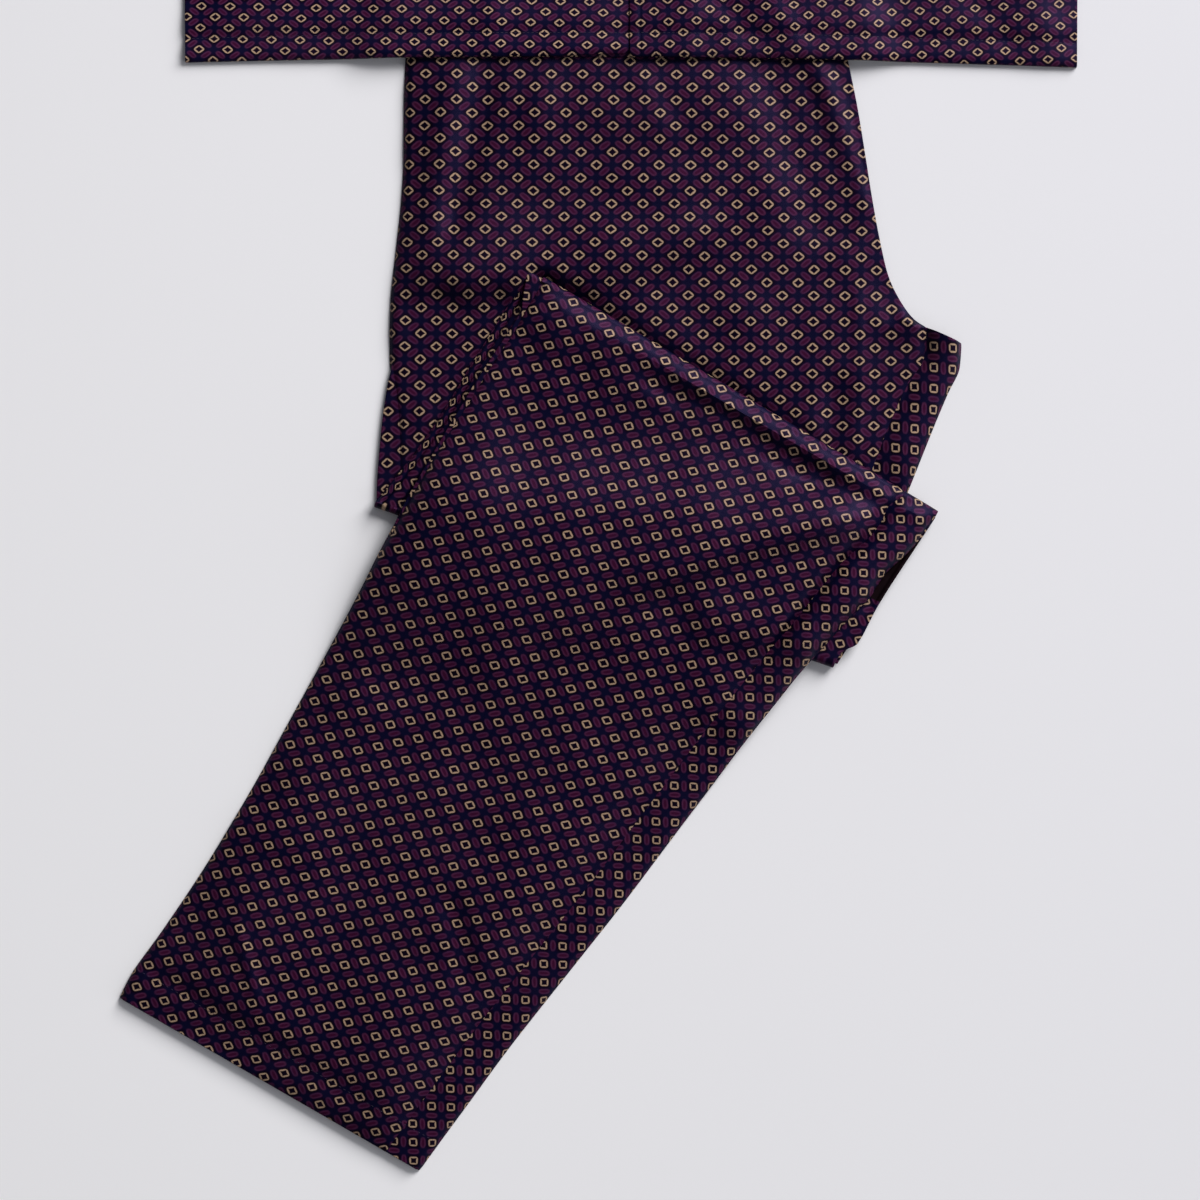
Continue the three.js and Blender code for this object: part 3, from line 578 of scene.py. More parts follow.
def grid_mesh(name, face, back, uv, rim):
    """A closed wall of cloth from two grids of points, with its edge rounded by the rim's rings."""
    rows, cols = face.shape[:2]
    points = [face.reshape(-1, 3), back.reshape(-1, 3)]
    coords = [uv.reshape(-1, 2), uv.reshape(-1, 2)]
    ids = np.arange(rows * cols).reshape(rows, cols)
    quads = [
        np.stack([ids[:-1, :-1], ids[:-1, 1:], ids[1:, 1:], ids[1:, :-1]], -1).reshape(-1, 4),
        np.stack([ids[:-1, :-1], ids[1:, :-1], ids[1:, 1:], ids[:-1, 1:]], -1).reshape(-1, 4) + rows * cols,
    ]
    loop = np.concatenate([ids[0, :-1], ids[:-1, -1], ids[-1, :0:-1], ids[:0:-1, 0]])
    inner_row = np.clip(loop // cols, 1, rows - 2)
    inner_col = np.clip(loop % cols, 1, cols - 2)
    mid = (face + back) / 2
    edge_mid = mid.reshape(-1, 3)[loop]
    outward = edge_mid - mid[inner_row, inner_col]
    thick = face.reshape(-1, 3)[loop] - back.reshape(-1, 3)[loop]
    thick_way = thick / np.linalg.norm(thick, axis=1, keepdims=True)
    outward = outward - thick_way * (outward * thick_way).sum(1, keepdims=True)
    outward = outward / np.linalg.norm(outward, axis=1, keepdims=True)
    rings = [loop]
    count = 2 * rows * cols
    for share, out in rim:
        points.append(face.reshape(-1, 3)[loop] - thick * share + outward * out)
        coords.append(uv.reshape(-1, 2)[loop])
        rings.append(np.arange(count, count + len(loop)))
        count += len(loop)
    rings.append(loop + rows * cols)
    for a, b in zip(rings[:-1], rings[1:]):
        quads.append(np.stack([np.roll(a, -1), a, b, np.roll(b, -1)], -1))
    return mesh_object(name, np.vstack(points), np.vstack(quads), np.vstack(coords))


def mesh_object(name, points, quads, uv):
    """A smooth mesh in the row frame from layout points, its faces pointing out."""
    corners = points[quads]
    volume = (corners[:, 0] * np.cross(corners[:, 1], corners[:, 2])).sum()
    volume += (corners[:, 0] * np.cross(corners[:, 2], corners[:, 3])).sum()
    if volume < 0:
        quads = quads[:, ::-1]
    mesh = bpy.data.meshes.new(name)
    mesh.from_pydata((points * MM + layout_shift).tolist(), [], quads.tolist())
    layer = mesh.uv_layers.new(name="print")
    order = np.empty(len(mesh.loops), np.int32)
    mesh.loops.foreach_get("vertex_index", order)
    layer.data.foreach_set("uv", uv[order].astype(np.float32).ravel())
    mesh.shade_smooth()
    mesh.set_sharp_from_angle(angle=SOFT_ANGLE)
    made = bpy.data.objects.new(name, mesh)
    bpy.context.scene.collection.objects.link(made)
    return made


CUT_EDGE = [(0.15, 0.22), (0.5, 0.36), (0.85, 0.22)]


def stacked(*parts):
    return np.stack(np.broadcast_arrays(*parts), -1)


def unit_ways(start, end):
    """The way from one edge to the other in each row, one millimetre long."""
    way = end - start
    return way / np.hypot(*way.T)[:, None]


def leg_wall(name, runs, edges, places, low, high, print_names, shape, rim):
    """One wall of the legs through the given runs, between two edges of their rows."""
    faces, backs, uvs = [], [], []
    for run in runs:
        start, end = edges(run.rows)
        x, y, from_start, from_end = across_points(start, end, places)
        turn = run.rows[:, 8:9]
        form = shape(run.kind, y, from_start, from_end)
        unit = unit_ways(start, end)
        flat_x, flat_y = x + unit[:, :1] * form.travel, y + unit[:, 1:] * form.travel
        if run.kind == "second_turn":  # the print runs on over the fold from the lower leg
            before = (math.pi - turn) * (GAP / 2 + STACK)
            flat_x, flat_y = flat_x + out_second[0] * before, flat_y + out_second[1] * before
        x = x + unit[:, :1] * form.out
        y = y + unit[:, 1:] * form.out
        up = np.ones_like(turn)
        if run.kind == "middle":
            up = -up
        elif run.kind == "first_turn":
            up = np.cos(turn)
        elif run.kind == "second_turn":
            up = -np.cos(turn)
        inside = np.minimum(from_start, from_end)
        for grids, height, rise, face in ((faces, high, form.face, True), (backs, low, form.back, False)):
            px, py, pz = leg_height(run.kind, x, y, height, turn, face, inside)
            grids.append(stacked(px, py, pz + rise * up))
        uvs.append(stacked(*print_at(print_names[run.kind], flat_x, flat_y)))
    return grid_mesh(name, np.vstack(faces), np.vstack(backs), np.vstack(uvs), rim)


# How a wall departs from its plain form: out along its rows, the heights of its face and back, and
# how much further its print has travelled.
Form = namedtuple("Form", "out face back travel")


def edge_shape(roll_start, roll_end, dip_start, dip_end):
    """The form of a wall whose side edges roll over or dip into a seam."""

    def shape(kind, y, from_start, from_end):
        out, drop, travel = (np.zeros_like(from_start) for _ in range(3))
        here = 1.0 if kind in ("seat", "upper", "lower") else 0.0
        for rolls, dips, distance, way in (
            (roll_start, dip_start, from_start, -1),
            (roll_end, dip_end, from_end, 1),
        ):
            if rolls:
                moved, fell = rolled(distance)
                out, drop = out + way * moved * here, drop + fell * here
                travel = travel + way * here * 0.3 * np.clip(ROLL_REACH - distance, 0, None)
            if dips:
                drop = drop + seam_dip(distance)
        return Form(out, drop, drop, travel)

    return shape


OUTER_ROLL = 4.2  # the widths of the two rolls that show beside the lower leg's left edge
INNER_ROLL = 8.0
SLIVER_DEPTH = 2.2  # how deep the lines between the rolls are
OUTER_ROLL_LOWER = 0.7
CORNER_GAP = (-334.0, -288.0)  # where the layers part at the right corner
CORNER_GAP_DEPTH = 2.3
CORNER_GAP_REACH = 40.0


def hidden_shape(kind, y, from_start, from_end):
    """The form of the hidden layers: two rolls at the left, and a gap between them at the right."""
    still = np.zeros_like(from_start)
    if kind != "middle":
        return Form(still, still, still, still)
    both = OUTER_ROLL + INNER_ROLL
    outer_share = np.clip(from_start / OUTER_ROLL, 0, 1)
    inner_share = np.clip((from_start - OUTER_ROLL) / INNER_ROLL, 0, 1)
    share = np.where(from_start < OUTER_ROLL, outer_share, inner_share)
    round_off = 1 - np.sqrt(1 - (2 * share - 1) ** 2 * 0.98)
    sunk = SLIVER_DEPTH * round_off + OUTER_ROLL_LOWER * (1 - ease((from_start - OUTER_ROLL + 0.6) / 1.2))
    sunk = np.where(from_start < both, sunk, SLIVER_DEPTH * 0.86) * (1 - ease((from_start - both) / 8))
    parted = ease((y - CORNER_GAP[0]) / 10) * ease((CORNER_GAP[1] - y) / 10)
    at_corner = ease((from_end - 0.8) / 1.8) * (from_end < CORNER_GAP_REACH)
    sunk = sunk + CORNER_GAP_DEPTH * parted * at_corner
    travel = -np.clip(OUTER_ROLL + 0.6 - from_start, 0, None)
    return Form(still, still, sunk, travel)


LEG_PRINTS = {
    "seat": "upper_leg",
    "upper": "upper_leg",
    "first_turn": "middle_leg",
    "middle": "middle_leg",
    "second_turn": "lower_leg",
    "lower": "lower_leg",
}
STRIP_PRINTS = {kind: "upper_strip" for kind in ("seat", "upper", "first_turn", "middle")} | {
    "second_turn": "lower_strip",
    "lower": "lower_strip",
}
ROLL_STEPS = (0.0, 0.7, 1.5, 2.4, 3.3, 4.3, 5.4)
OUTER_ROLL_STEPS = (0, 0.15, 0.4, 0.8, 1.4, 2.1, 2.8, 3.4, 3.8, 4.05, OUTER_ROLL)
INNER_ROLL_STEPS = (4.35, 4.7, 5.3, 6.2, 7.4, 8.6, 9.8, 10.8, 11.5, 12.0, 12.8, 15.0)
SLIVER_STEPS = OUTER_ROLL_STEPS + INNER_ROLL_STEPS
LAYER_STEPS = (0.0, 0.7, 1.4, 2.2, 3.2)
SEAM_STEPS = (0.0, 0.5, 1.1, 1.9, 3.0)


def make_leg_panel(runs):
    """The panel of the upper leg, from its outer edge to the seam of the inseam strip."""

    def edges(rows):
        outer, seam = rows[:, :2], rows[:, 2:4]
        has_strip = seam != rows[:, 4:6]
        return outer, seam - unit_ways(outer, seam) * SEAM_HALF_GAP * has_strip

    return leg_wall(
        "trousers_leg_panel_cloth",
        runs,
        edges,
        columns(PANEL_COLUMNS, ROLL_STEPS, SEAM_STEPS),
        PANEL_LOW,
        STACK,
        LEG_PRINTS,
        edge_shape(True, False, False, True),
        CUT_EDGE,
    )


def make_inseam_strip(runs):
    """The strip from the crotch to the leg's hem, between the seam and the folded inner edge."""

    def edges(rows):
        seam, inner = rows[:, 2:4], rows[:, 4:6]
        return seam + unit_ways(seam, inner) * SEAM_HALF_GAP, inner

    return leg_wall(
        "trousers_inseam_strip_cloth",
        [run for run in runs if run.kind != "seat"],
        edges,
        columns(STRIP_COLUMNS, SEAM_STEPS, ROLL_STEPS),
        PANEL_LOW,
        STACK,
        STRIP_PRINTS,
        edge_shape(False, True, True, False),
        CUT_EDGE,
    )


def make_hidden_layers(runs):
    """The other layers of both legs: one body whose edge shows each layer."""

    def edges(rows):
        outer, inner = rows[:, :2], rows[:, 4:6]
        unit = unit_ways(outer, inner)
        return outer - unit * rows[:, 6:7], inner + unit * rows[:, 7:8]

    rim = []
    for layer in range(HIDDEN_LAYERS):
        middle = (layer + 0.5) / HIDDEN_LAYERS
        rim += [(middle - 0.11, 0.45), (middle, 0.6), (middle + 0.11, 0.45)]
        if layer < HIDDEN_LAYERS - 1:
            rim.append(((layer + 1) / HIDDEN_LAYERS, 0.0))
    prints = LEG_PRINTS | {"seat": "upper_leg", "lower": "lower_strip", "second_turn": "lower_strip"}
    return leg_wall(
        "trousers_hidden_layers_cloth",
        runs,
        edges,
        columns(HIDDEN_COLUMNS, SLIVER_STEPS, LAYER_STEPS),
        0.0,
        UNDER,
        prints,
        hidden_shape,
        rim,
    )


# The shirt
def half_width(body, yoke):
    """Half the shirt's width, up the body to the underarm and then up the armhole."""
    straight = mix(mix(HEM_WIDTH, CHEST_WIDTH, body), SHOULDER_WIDTH, ease(yoke * 1.6)) / 2
    return straight - ARMHOLE_HOLLOW * np.sin(math.pi * yoke) ** 2


def top_line(x, neck_drop):
    """The height of the shoulder seam and the neckline, up from the hem."""
    half, neck = SHOULDER_WIDTH / 2, NECK_WIDTH / 2
    slope = SHIRT_LENGTH - SHOULDER_DROP * (np.abs(x) - neck) / (half - neck)
    inward = np.clip(1 - np.abs(x) / neck, 0, 1)
    neckline = SHIRT_LENGTH - neck_drop * (1 - (1 - inward) ** NECK_CURVE)
    return np.where(np.abs(x) >= neck, slope, neckline)


def hem_line(x):
    share = 2 * x / HEM_WIDTH
    return 1 - HEM_BOW * share**2 - HEM_TILT * share


def shirt_lift(x, y):
    slack = SHIRT_SLACK * ease((SIDE - np.abs(x)) / 24) * ease((y + 6) / 30)
    return np.maximum(0, slack + relief(shirt_creases, x, y) + rumple(x, y, SHIRT_SEED, 60))


def lap_foot(x, y):
    """The height that the shirt lies at, where it laps over the trousers and past them."""
    return (STEP + LAP_LIFT) * level(lap_outline, x, y, LAP_REACH)


def shirt_rows():
    """Shares of the way up the body to the underarm, and from there up to the shoulder."""
    hem = np.array(HEM_STEPS) / UNDERARM_Y
    body = np.concatenate([hem, np.linspace(hem[-1], 1, 92)[1:]])
    yoke = np.linspace(0, 1, 42)[1:]
    return np.concatenate([body, np.ones(len(yoke))]), np.concatenate([np.zeros(len(body)), yoke])


def shirt_panel(name, places, neck_drop, height, print_name, hem_rise=None, edges=(), creased=True):
    """A shirt panel over places across, each from -1 at one side seam to 1 at the other."""
    body, yoke = (part[:, None] for part in shirt_rows())
    place = np.array(places)[None]
    x = half_width(body, yoke) * place
    top = top_line(SHOULDER_WIDTH / 2 * place, neck_drop)
    y = mix(mix(hem_line(x), UNDERARM_Y, body), top, yoke)
    from_hem = body * UNDERARM_Y
    if hem_rise:
        y = y + hem_rise(x) * (1 - ease(from_hem / HEM_DEPTH))
    foot = lap_foot(x, y) + height(x, y)
    if creased:
        foot = foot + shirt_lift(x, y)
    turned = hem_form(from_hem) + 0 * x
    dips = sum(edge(x, body, yoke) for edge in edges) if edges else 0.0
    face = stacked(x, y, foot + CLOTH + turned + dips)
    back = stacked(x, y, foot + dips)
    uv = stacked(*print_at(print_name, x, y))
    return grid_mesh(name, face[::-1], back[::-1], uv[::-1], CUT_EDGE)


def side_seam(sign):
    def dip(x, body, yoke):
        return seam_dip(half_width(body, yoke) - sign * x)

    return dip


def front_edge(x, body, yoke):
    """The upper front's turned edge: a soft roll, and the line that its stitches draw in."""
    from_edge = x - OVERLAP_EDGE
    roll = 0.35 * np.exp(-((from_edge / 1.2) ** 2))
    return -roll - 0.3 * np.exp(-(((from_edge - FRONT_STITCH_IN) / 0.8) ** 2))


def hem_form(from_hem):
    """The turned hem's height: full near its edge, falling to the row of stitches, with the cloth
    above it standing up again."""
    past = from_hem - HEM_DEPTH
    full = HEM_SWELL * ease((from_hem + 0.8) / 3.2) * (1 - ease((from_hem - 3) / (HEM_DEPTH - 4)))
    above = HEM_SWELL * 0.7 * ease((past + 0.6) / 5) * (1 - ease((past - 6) / 14))
    stitched = -STITCH_SINK * np.exp(-(((from_hem - STITCH_LINE) / 1.1) ** 2))
    return HEM_TURN * (1 - ease((past + 1) / 2.2)) + full + above + stitched


def places_across(low, high, spacing, finely=()):
    """Places across the shirt between two distances from its middle, finer near some of them."""
    even = list(np.linspace(low, high, max(2, round((high - low) / spacing))))
    for near in finely:
        even += [near + d for d in (-1.6, -0.8, 0, 0.8, 1.6) if low < near + d < high]
    kept = []
    for x in sorted(even):
        if not kept or x - kept[-1] > 0.25:
            kept.append(x)
    return [x / SIDE for x in kept]


FRONT_HEIGHT = CLOTH + HEM_TURN + GAP


def upper_front(x, y):
    """The height of the front that laps over the other, which comes down to it past the lap."""
    past_lap = x - OVERLAP_EDGE - OVERLAP
    return FRONT_HEIGHT + FRONT_HEIGHT * (1 - ease((past_lap - 3) / LAP_SETTLE))


def make_shirt_panels():
    edge_lines = (OVERLAP_EDGE, OVERLAP_EDGE + FRONT_STITCH_IN)
    back = shirt_panel(
        "shirt_back_cloth",
        places_across(-SIDE, SIDE, COARSE, (-SIDE, SIDE)),
        BACK_NECK_DROP,
        lambda x, y: 0 * x,
        "back",
        edges=(side_seam(1), side_seam(-1)),
        creased=False,
    )
    right = shirt_panel(
        "shirt_right_front_cloth",
        places_across(-SIDE, OVERLAP_EDGE + OVERLAP - UNDER_FRONT_INSET, SHIRT_FINE, (-SIDE,)),
        FRONT_NECK_DROP,
        lambda x, y: FRONT_HEIGHT + 0 * x,
        "right_front",
        hem_rise=lambda x: UNDER_FRONT_RISE * ease((x + 60) / 60),
        edges=(side_seam(-1),),
    )
    left = shirt_panel(
        "shirt_left_front_cloth",
        places_across(OVERLAP_EDGE, SIDE, SHIRT_FINE, (*edge_lines, SIDE)),
        FRONT_NECK_DROP,
        upper_front,
        "left_front",
        edges=(side_seam(1), front_edge),
    )
    return {"shirt_back": back, "shirt_right_front": right, "shirt_left_front": left}


SLEEVE_WAY = np.array([math.cos(SLEEVE_LEAN), -math.sin(SLEEVE_LEAN)])
CUFF_WAY = np.array([SLEEVE_WAY[1], -SLEEVE_WAY[0]])
SLEEVE_HEAD = np.array([SHOULDER_WIDTH / 2 + GAP, SHIRT_LENGTH - SHOULDER_DROP])
SLEEVE_TOP = 2 * CLOTH + GAP + HEM_TURN


def make_sleeve(side):
    """A sleeve lying flat: a tube of cloth from the armhole to the open cuff."""
    cuff_top = SLEEVE_HEAD + SLEEVE_LENGTH * SLEEVE_WAY
    cuff_foot = cuff_top + CUFF_WIDTH * CUFF_WAY
    yoke = np.linspace(0, 1, ARMHOLE_POINTS)
    armhole = np.stack(
        [half_width(1, yoke) + GAP, mix(UNDERARM_Y, SHIRT_LENGTH - SHOULDER_DROP, yoke)], -1
    )
    cuff = mix(cuff_foot, cuff_top, yoke[:, None])
    near_cuff = 1 - np.array(CUFF_STEPS) / SLEEVE_LENGTH
    even = np.linspace(0.01, near_cuff[0] - 0.006, SLEEVE_SECTIONS)
    stations = np.concatenate([[0, 0.002, 0.005], even, near_cuff])
    rings = []
    for station in stations:
        line = mix(armhole, cuff, station)
        way = line[-1] - line[0]
        way = way / np.hypot(*way)
        inner = line.copy()
        inner[0] += way * SLEEVE_ROUND
        inner[-1] -= way * SLEEVE_ROUND
        slack = SLEEVE_SLACK * math.sin(math.pi * station) ** 2
        crown = slack * np.sin(math.pi * yoke) * (1 + SLEEVE_RUMPLE * rumple(*inner.T, SLEEVE_SEED, 60, 1.0))
        from_cuff = (1 - station) * SLEEVE_LENGTH
        stitch_dip = -0.3 * math.exp(-(((from_cuff - CUFF_HEM) / 0.9) ** 2))
        seam = -0.4 * math.exp(-((station * SLEEVE_LENGTH / 2) ** 2))

        def ring(low, high, rim):
            upper = np.column_stack([inner, high + crown + stitch_dip + seam])
            lower = np.column_stack([inner, np.full(len(inner), low)])
            ends = []
            for corner, edge in ((inner[-1], line[-1]), (inner[0], line[0])):
                for share, reach in SLEEVE_EDGE:
                    at = mix(corner, edge, rim * reach)
                    ends.append([*at, mix(low, high, share)])
            return np.vstack([lower, ends[:3], upper[::-1], ends[:2:-1]])

        rings.append((ring(0, SLEEVE_TOP, 1.0), ring(CLOTH, SLEEVE_TOP - CLOTH, SLEEVE_WALL)))
    outer = np.array([pair[0] for pair in rings])
    inner = np.array([pair[1] for pair in rings])
    mirror = np.array([side, 1, 1])
    points = np.vstack([outer.reshape(-1, 3), inner.reshape(-1, 3)]) * mirror
    rows, cols = outer.shape[:2]
    ids = np.arange(rows * cols).reshape(rows, cols)
    around = np.roll(ids, -1, 1)
    skin = rows * cols
    quads = [
        np.stack([ids[:-1], around[:-1], around[1:], ids[1:]], -1).reshape(-1, 4),
        np.stack([around[:-1], ids[:-1], ids[1:], around[1:]], -1).reshape(-1, 4) + skin,
        np.stack([around[0], ids[0], ids[0] + skin, around[0] + skin], -1),
        np.stack([ids[-1], around[-1], around[-1] + skin, ids[-1] + skin], -1),
    ]
    flat = (points[:, :2] * [side, 1]) @ np.array([SLEEVE_WAY, -CUFF_WAY]).T
    uv = np.stack(print_at("sleeve", flat[:, 1], flat[:, 0]), -1)
    name = "shirt_left_sleeve_cloth" if side > 0 else "shirt_right_sleeve_cloth"
    return mesh_object(name, points, np.vstack(quads), uv)


# Materials
class Nodes:
    """Adds shader nodes to a tree, wired as they are made."""

    def __init__(self, tree):
        self.tree = tree
        self.column = 0

    def add(self, kind, **settings):
        node = self.tree.nodes.new(kind)
        node.location = (self.column * 40 - 1600, -(self.column % 6) * 160)
        self.column += 1
        for key, value in settings.items():
            setattr(node, key, value)
        return node

    def wire(self, value, socket):
        if hasattr(value, "is_output"):
            self.tree.links.new(value, socket)
        else:
            socket.default_value = value

    def math(self, operation, *values):
        node = self.add("ShaderNodeMath", operation=operation)
        for value, socket in zip(values, node.inputs):
            self.wire(value, socket)
        return node.outputs[0]

    def smooth(self, value, low, high):
        """0 below low and 1 above high, or the other way round where low is the larger."""
        node = self.add("ShaderNodeMapRange", interpolation_type="SMOOTHSTEP")
        falls = low > high
        for value_in, name in (
            (value, "Value"),
            (min(low, high), "From Min"),
            (max(low, high), "From Max"),
            (1.0 if falls else 0.0, "To Min"),
            (0.0 if falls else 1.0, "To Max"),
        ):
            self.wire(value_in, node.inputs[name])
        return node.outputs["Result"]

    def blend(self, share, low, high):
        node = self.add("ShaderNodeMix", data_type="RGBA")
        self.wire(share, node.inputs["Factor"])
        self.wire(low, node.inputs["A"])
        self.wire(high, node.inputs["B"])
        return node.outputs["Result"]

    def noise(self, vector, scale, detail=2.0, rough=0.5):
        node = self.add("ShaderNodeTexNoise")
        self.wire(vector, node.inputs["Vector"])
        self.wire(scale, node.inputs["Scale"])
        self.wire(detail, node.inputs["Detail"])
        self.wire(rough, node.inputs["Roughness"])
        return node.outputs["Fac"]


def linear(red, green, blue):
    """A colour given in the 0 to 255 of a screen, as light."""
    out = []
    for channel in (red, green, blue):
        c = channel / 255
        out.append(c / 12.92 if c <= 0.04045 else ((c + 0.055) / 1.055) ** 2.4)
    return (*out, 1.0)


GROUND = linear(9, 2, 28)
SURROUND = linear(5, 0, 3)
NAVY = linear(5, 8, 37)
MAUVE = linear(82, 36, 66)
PLUM = linear(65, 30, 62)
WINE = linear(55, 7, 38)
CREAM = linear(190, 160, 133)
# Painted sheen: the pale violet that the cloth's colour drifts towards in patches
PAINTED_SHEEN_TONE = linear(70, 52, 84)
GLOSS = (0.6, 0.4, 1.0, 1.0)
SHEEN = linear(206, 196, 226)

# The print's shapes, measured from the middle of each in repeats: where the shape ends and where it
# is whole, and the half width and half length of a petal and its core
RING_OUTER = (0.236, 0.19)
STAR_EDGE = (0.25, 0.335)
HALO_EDGE = (0.36, 0.25)
NAVY_EDGE = (0.38, 0.17)
PETAL_HALF, PETAL_EDGE = (0.155, 0.31), (1.1, 0.74)
CORE_HALF, CORE_EDGE = (0.075, 0.25), (1.2, 0.6)
SQUARE_POWER, STAR_POWER, PETAL_POWER = 3.6, 0.86, 2.7
WOBBLE = 0.05  # how far the printed lines stray
PLATE_SHIFT = (17.3, 5.1, 0.0)  # sets the two ways of straying apart


def foulard_group():
    """The print: squares with a cream ring at whole repeats, petals between them, navy at the middles."""
    tree = bpy.data.node_groups.new("foulard_print", "ShaderNodeTree")
    tree.interface.new_socket("Place", in_out="INPUT", socket_type="NodeSocketVector")
    tree.interface.new_socket("Color", in_out="OUTPUT", socket_type="NodeSocketColor")
    n = Nodes(tree)
    place = n.add("NodeGroupInput").outputs["Place"]
    xyz = n.add("ShaderNodeSeparateXYZ")
    n.wire(place, xyz.inputs[0])
    shifted = n.add("ShaderNodeVectorMath", operation="ADD")
    n.wire(place, shifted.inputs[0])
    n.wire(PLATE_SHIFT, shifted.inputs[1])

    def strayed(value, where):
        stray = n.math("MULTIPLY", n.math("SUBTRACT", n.noise(where, 3.1), 0.5), WOBBLE)
        return n.math("ADD", value, stray)

    u = strayed(xyz.outputs[0], place)
    v = strayed(xyz.outputs[1], shifted.outputs[0])
    a = n.math("SUBTRACT", u, v)
    b = n.math("ADD", u, v)

    def nearest(value, offset):
        """Distance from the nearest whole number plus the offset."""
        shift = n.math("ADD", value, 0.5 - offset)
        return n.math("ABSOLUTE", n.math("SUBTRACT", n.math("FRACT", shift), 0.5))

    a_whole, b_whole = nearest(a, 0.0), nearest(b, 0.0)
    a_half, b_half = nearest(a, 0.5), nearest(b, 0.5)

    def rounded(p, q, power):
        total = n.math("ADD", n.math("POWER", p, power), n.math("POWER", q, power))
        return n.math("POWER", total, 1 / power)

    def signed(value):
        return n.math("SUBTRACT", n.math("FRACT", n.math("ADD", value, 0.5)), 0.5)

    def petals_of(half, edge):
        """The shape that lies along all four sides of each square, one on each."""
        ovals = [
            rounded(n.math("DIVIDE", wide, half[0]), n.math("DIVIDE", long, half[1]), PETAL_POWER)
            for wide, long in ((a_half, b_whole), (b_half, a_whole))
        ]
        return n.smooth(n.math("MINIMUM", *ovals), *edge)

    square = rounded(a_whole, b_whole, SQUARE_POWER)
    a_off, b_off = signed(a), signed(b)
    star = rounded(
        n.math("ABSOLUTE", n.math("ADD", a_off, b_off)),
        n.math("ABSOLUTE", n.math("SUBTRACT", a_off, b_off)),
        STAR_POWER,
    )
    ring = n.math("MULTIPLY", n.smooth(square, *RING_OUTER), n.smooth(star, *STAR_EDGE))
    halo = n.smooth(square, *HALO_EDGE)
    petals = petals_of(PETAL_HALF, PETAL_EDGE)
    cores = petals_of(CORE_HALF, CORE_EDGE)
    navy = n.smooth(rounded(a_half, b_half, 2.0), *NAVY_EDGE)
    patch = n.noise(place, 1.7, 3.0)
    ground = n.blend(navy, GROUND, NAVY)
    ground = n.blend(n.math("MULTIPLY", halo, 0.75), ground, SURROUND)
    petal_colour = n.blend(n.smooth(patch, 0.3, 0.7), MAUVE, PLUM)
    with_petals = n.blend(n.math("MULTIPLY", petals, 0.95), ground, petal_colour)
    with_cores = n.blend(n.math("MULTIPLY", cores, 0.9), with_petals, WINE)
    speck = n.smooth(n.noise(place, 22.0, 2.0), 0.25, 0.75)
    strength = n.math("MULTIPLY_ADD", speck, 0.28, 0.72)
    colour = n.blend(n.math("MULTIPLY", ring, strength), with_cores, CREAM)
    n.wire(colour, n.add("NodeGroupOutput").inputs["Color"])
    return tree


def new_material(name):
    """A material, with its shader and the means to add its nodes."""
    material = bpy.data.materials.new(name)
    material.use_nodes = True
    tree = material.node_tree
    return material, tree.nodes["Principled BSDF"], Nodes(tree)


PRINT_REPEAT = (18.6, 15.4)
THREAD_PITCH = 0.42
# The share of painted sheen that every cloth carries
PAINTED_SHEEN_SHARE = 0.03
WEAVE_SHARE, SLUB_SHARE = 0.35, 0.9
BUMP_STRENGTH, BUMP_HEIGHT = 0.35, 0.12


